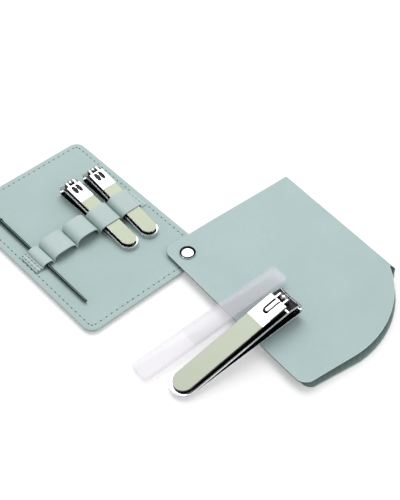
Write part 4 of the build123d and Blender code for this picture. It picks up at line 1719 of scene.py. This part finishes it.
    def lever(self) -> None:
        """Presses the lever with its tongue and ears, and lays its inlay in."""
        s = self.size
        plane = seat(self.place, s.lever_start, z=s.lever_tail, pitch=s.pitch)
        end = (s.lever_end - s.lever_start) / math.cos(math.radians(s.pitch))
        half = s.lever_width / 2
        bm = plate(round_tailed(end, half, half, half, self.lever_corner), s.lever, self.lever_rim, 4)
        self.finish_blank(bm, end - self.lever_cut, False, 1)
        long, wide, _ = s.boss
        start, side = end - long - self.pressed, wide * self.lever_side
        score(bm, Axis.X, [start, *steps(start, end, self.lever_pitches[0])])
        score(bm, Axis.Y, [*steps(-side, side, self.lever_pitches[1]), -side, side], start)
        # painted shade in the cut round the tongue and in the leaf hollows
        for face in bm.faces:
            at = face.calc_center_median()
            if at.x > start and face.normal.z > FLAT and self.press(at.x, at.y, end)[1] > 0.4:
                face.material_index = 1
        for vert in bm.verts:
            if vert.co.x > start:
                vert.co.z += self.press(vert.co.x, vert.co.y, end)[0]
        self.ears(bm, plane.inverted() @ self.place)
        self.add(bm, "lever", "lever_pressed", plane)
        inner = half - self.rim
        drawn = round_tailed(s.inlay_end - s.lever_start, inner, inner, half, self.corner)
        self.add(plate(drawn, self.film, self.film_rim, 4), "inlay", "inlay_film", seat(plane, z=s.lever))

    def build(self) -> None:
        """Builds the arms, the post and the lever with its inlay."""
        self.arms()
        self.post()
        self.lever()


@dataclass
class GlassFile:
    """The frosted glass file, with its etching as one block round it."""

    maker: Maker
    finishes: Finishes
    place: Matrix
    length: float = 89.7
    width: float = 11.4
    thick: float = 3.0
    corner: float = 2.6
    edge: float = 0.55
    film: float = 0.02
    etched: tuple[float, float] = (31.0, 87.5)
    border: float = 1.0  # left clear at each side of the etching
    etched_corner: float = 0.4

    def build(self) -> None:
        """Grinds the body, and lays the etching round it."""
        half = self.width / 2
        body = plate(oblong(0, self.length, half, self.corner), self.thick, self.edge)
        drawn = oblong(*self.etched, half - self.border, self.etched_corner)
        etching = plate(drawn, self.thick + 2 * self.film, 0, 4)
        lay = seat(self.place, z=-self.film)
        for bm, name, place, finish, slot, node in (
            (body, "glass_file_body", self.place, self.finishes.glass, Slot.GLASS, "glass_file"),
            (etching, "glass_file_etching", lay, self.finishes.etch, Slot.ETCH, "file_etching"),
        ):
            self.maker.piece(bm, name, place, [finish], slot, [node], "glass_file")


# --- Studio --------------------------------------------------------------------------------------------
@dataclass
class Studio:
    """Pale floor, soft boxes, dark cards beside them, and the camera."""

    eye: tuple[float, float, float] = (308.813, -236.726, 450.688)
    target: tuple[float, float, float] = (-0.988, 8.843, 0.0)
    lens: float = 83.55
    floor_size: float = 6.0
    floor_drop: float = 0.0001  # keeps it clear of the object's underside
    glow_starts: float = 400.0  # millimetres from the middle, between which the floor glows up
    glow_ends: float = 1500.0
    card_distance: float = 1.1
    room: float = 0.5  # the room's light on the object

    def floor(self) -> None:
        """Lays the floor, which stays white where no shadow falls."""
        bm = bmesh.new()
        bmesh.ops.create_grid(bm, x_segments=8, y_segments=8, size=self.floor_size)
        floor = into_scene("studio_floor", mesh_of(bm, "studio_floor"))
        floor.location.z = -self.floor_drop
        w = Wiring("floor_white")
        path = w.node("ShaderNodeLightPath")
        seen = w.math("MAXIMUM", path.outputs["Is Camera Ray"], path.outputs["Is Glossy Ray"])
        seen = w.math("MAXIMUM", seen, path.outputs["Is Transmission Ray"])
        away = w.node("ShaderNodeVectorMath", operation="LENGTH")
        w.put(away.inputs[0], w.place())
        glow = w.span(away.outputs["Value"], 0.28, 0.62, self.glow_starts, self.glow_ends)
        w.dress(
            Base_Color=(0.86, 0.86, 0.865, 1),
            Roughness=0.9,
            Specular_IOR_Level=0.0,
            Emission_Color=(1, 1, 1, 1),
            Emission_Strength=w.math("MULTIPLY", seen, glow),
        )
        floor.data.materials.append(w.material)

    def cards(self) -> None:
        """Stands dark cards round the table, which only show as reflections in the plating."""
        w = Wiring("card_black")
        w.dress(Base_Color=(0.015, 0.015, 0.015, 1), Roughness=1.0, Specular_IOR_Level=0.0)
        for name, azimuth, width, low, high in (
            ("dark_card_left", 238, 80, 0.02, 0.65),
            ("dark_card_near", 128, 100, 0.02, 1.9),
            ("dark_card_right", 50, 44, 0.02, 0.8),
            ("dark_card_back", 335, 80, 0.03, 0.92),
        ):
            bm = bmesh.new()
            start = math.radians(azimuth - width / 2)
            foot = Vector((math.sin(start), math.cos(start), 0)) * self.card_distance
            verts = [bm.verts.new((foot.x, foot.y, z)) for z in (low, high)]
            edge = bm.edges.new(verts)
            bmesh.ops.spin(
                bm, geom=[*verts, edge], cent=(0, 0, 0), axis=(0, 0, 1), angle=-math.radians(width), steps=16
            )
            card = into_scene(name, mesh_of(bm, name))
            card.data.materials.append(w.material)
            for ray in ("camera", "diffuse", "shadow", "transmission"):
                setattr(card, f"visible_{ray}", False)

    def lights(self) -> None:
        """Sets the room's even light and two soft boxes."""
        world = bpy.data.worlds.new("studio_room")
        bpy.context.scene.world = world
        world.use_nodes = True
        nodes, links = world.node_tree.nodes, world.node_tree.links
        background = nodes["Background"]
        background.inputs["Color"].default_value = (1, 1, 1, 1)
        path = nodes.new("ShaderNodeLightPath")
        seen = nodes.new("ShaderNodeMapRange")
        seen.inputs["To Min"].default_value = self.room
        links.new(path.outputs["Is Camera Ray"], seen.inputs["Value"])
        links.new(seen.outputs["Result"], background.inputs["Strength"])
        for name, spot, size, watts in (
            ("soft_box_top", (-0.55, 0.34, 1.1), 0.95, 9.2),
            ("soft_box_side", (0.9, 0.6, 0.9), 0.6, 1.4),
        ):
            data = bpy.data.lights.new(name, "AREA")
            data.shape = "SQUARE"
            data.size = size
            data.energy = watts
            lamp = into_scene(name, data)
            lamp.location = spot
            lamp.rotation_euler = (-Vector(spot)).to_track_quat("-Z", "Y").to_euler()

    def camera(self) -> None:
        """Sets the camera where the photograph was taken from, leaving the 400 by 500 picture size unset."""
        data = bpy.data.cameras.new("photo_camera")
        data.sensor_fit = "VERTICAL"
        data.sensor_height = 36
        data.lens = self.lens
        data.clip_start, data.clip_end = 0.01, 20
        eye, target = Vector(self.eye) * MM, Vector(self.target) * MM
        camera = into_scene("photo_camera", data)
        camera.location = eye
        camera.rotation_euler = (target - eye).to_track_quat("-Z", "Y").to_euler()
        bpy.context.scene.camera = camera

    def build(self) -> None:
        """Builds the studio."""
        self.floor()
        self.cards()
        self.lights()
        self.camera()
        bpy.context.scene.view_settings.view_transform = "Standard"


def across_flap(x: float, tail: float, yaw: float) -> Matrix:
    """The seat of a tool with its tail on the table, leaning on the flap's opening edge.

    Args:
        x: the tail's place in X.
        tail: and in Y.
        yaw: its turn about Z, in degrees.

    Returns:
        The seat.
    """
    pitch = math.degrees(math.atan2(FLAP_TOP + 0.1, FLAP_FRONT - tail))
    return seat(ROOT, x, tail, 0, yaw, pitch)


def tool_seats(card: Card) -> dict[str, Matrix]:
    """Where each tool lies: those in the loops on the card, the others across the flap's opening edge."""
    return {
        "pick": seat(card.top, 39.3, -29.0, 1.4, 180),
        "small_a": seat(seat(card.top, y=11.6, z=0.05, yaw=180.45), -27.8),
        "small_b": seat(seat(card.top, y=25.6, z=0.05, yaw=178.2), -28.3),
        "large": across_flap(61.3, -56.65, 91.0),
        "file": across_flap(42.7, -63.1, 90.2),
    }


def dress_nodes(nodes: dict[str, bpy.types.Object], finishes: Finishes) -> None:
    """Gives each carried-over CAD node its finish.

    Args:
        nodes: the CAD nodes by name.
        finishes: the finishes.
    """
    kept = {"card_board": finishes.board}
    kept |= {name: finishes.steel for name in nodes if name.endswith("_rivet")}
    for name, finish in kept.items():
        slots = nodes[name].data.materials
        slots.clear()
        slots.append(finish)


def main() -> None:
    """Builds the case round its frame."""
    logging.basicConfig(level=logging.INFO, format="%(message)s")
    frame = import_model()
    finishes = Finishes()
    maker = Maker()
    Studio().build()
    card = Card(maker, finishes)
    Cover(maker, finishes).build()
    card.build()
    seats = tool_seats(card)
    Pick(maker, finishes, seats["pick"]).build()
    for side in ("a", "b"):
        name = f"small_clipper_{side}"
        bodies = dict.fromkeys(("lower_arm", "post", "lever", "inlay"), name)
        bodies["upper_arm"] = f"small_jaw_{side}"
        place = seats[f"small_{side}"]
        Clipper(maker, finishes, name, SMALL, place, bodies, finishes.small_inlay).build()
    bodies = {
        "lower_arm": "large_clipper",
        "upper_arm": "large_jaw",
        "post": "large_post",
        "lever": "large_lever",
        "inlay": "large_lever",
    }
    name = "large_clipper"
    Clipper(maker, finishes, name, LARGE, seats["large"], bodies, finishes.large_inlay).build()
    GlassFile(maker, finishes, seats["file"]).build()
    dress_nodes(frame["nodes"], finishes)
    LOG.info("%d pieces", maker.count)


if __name__ == "__main__":
    main()
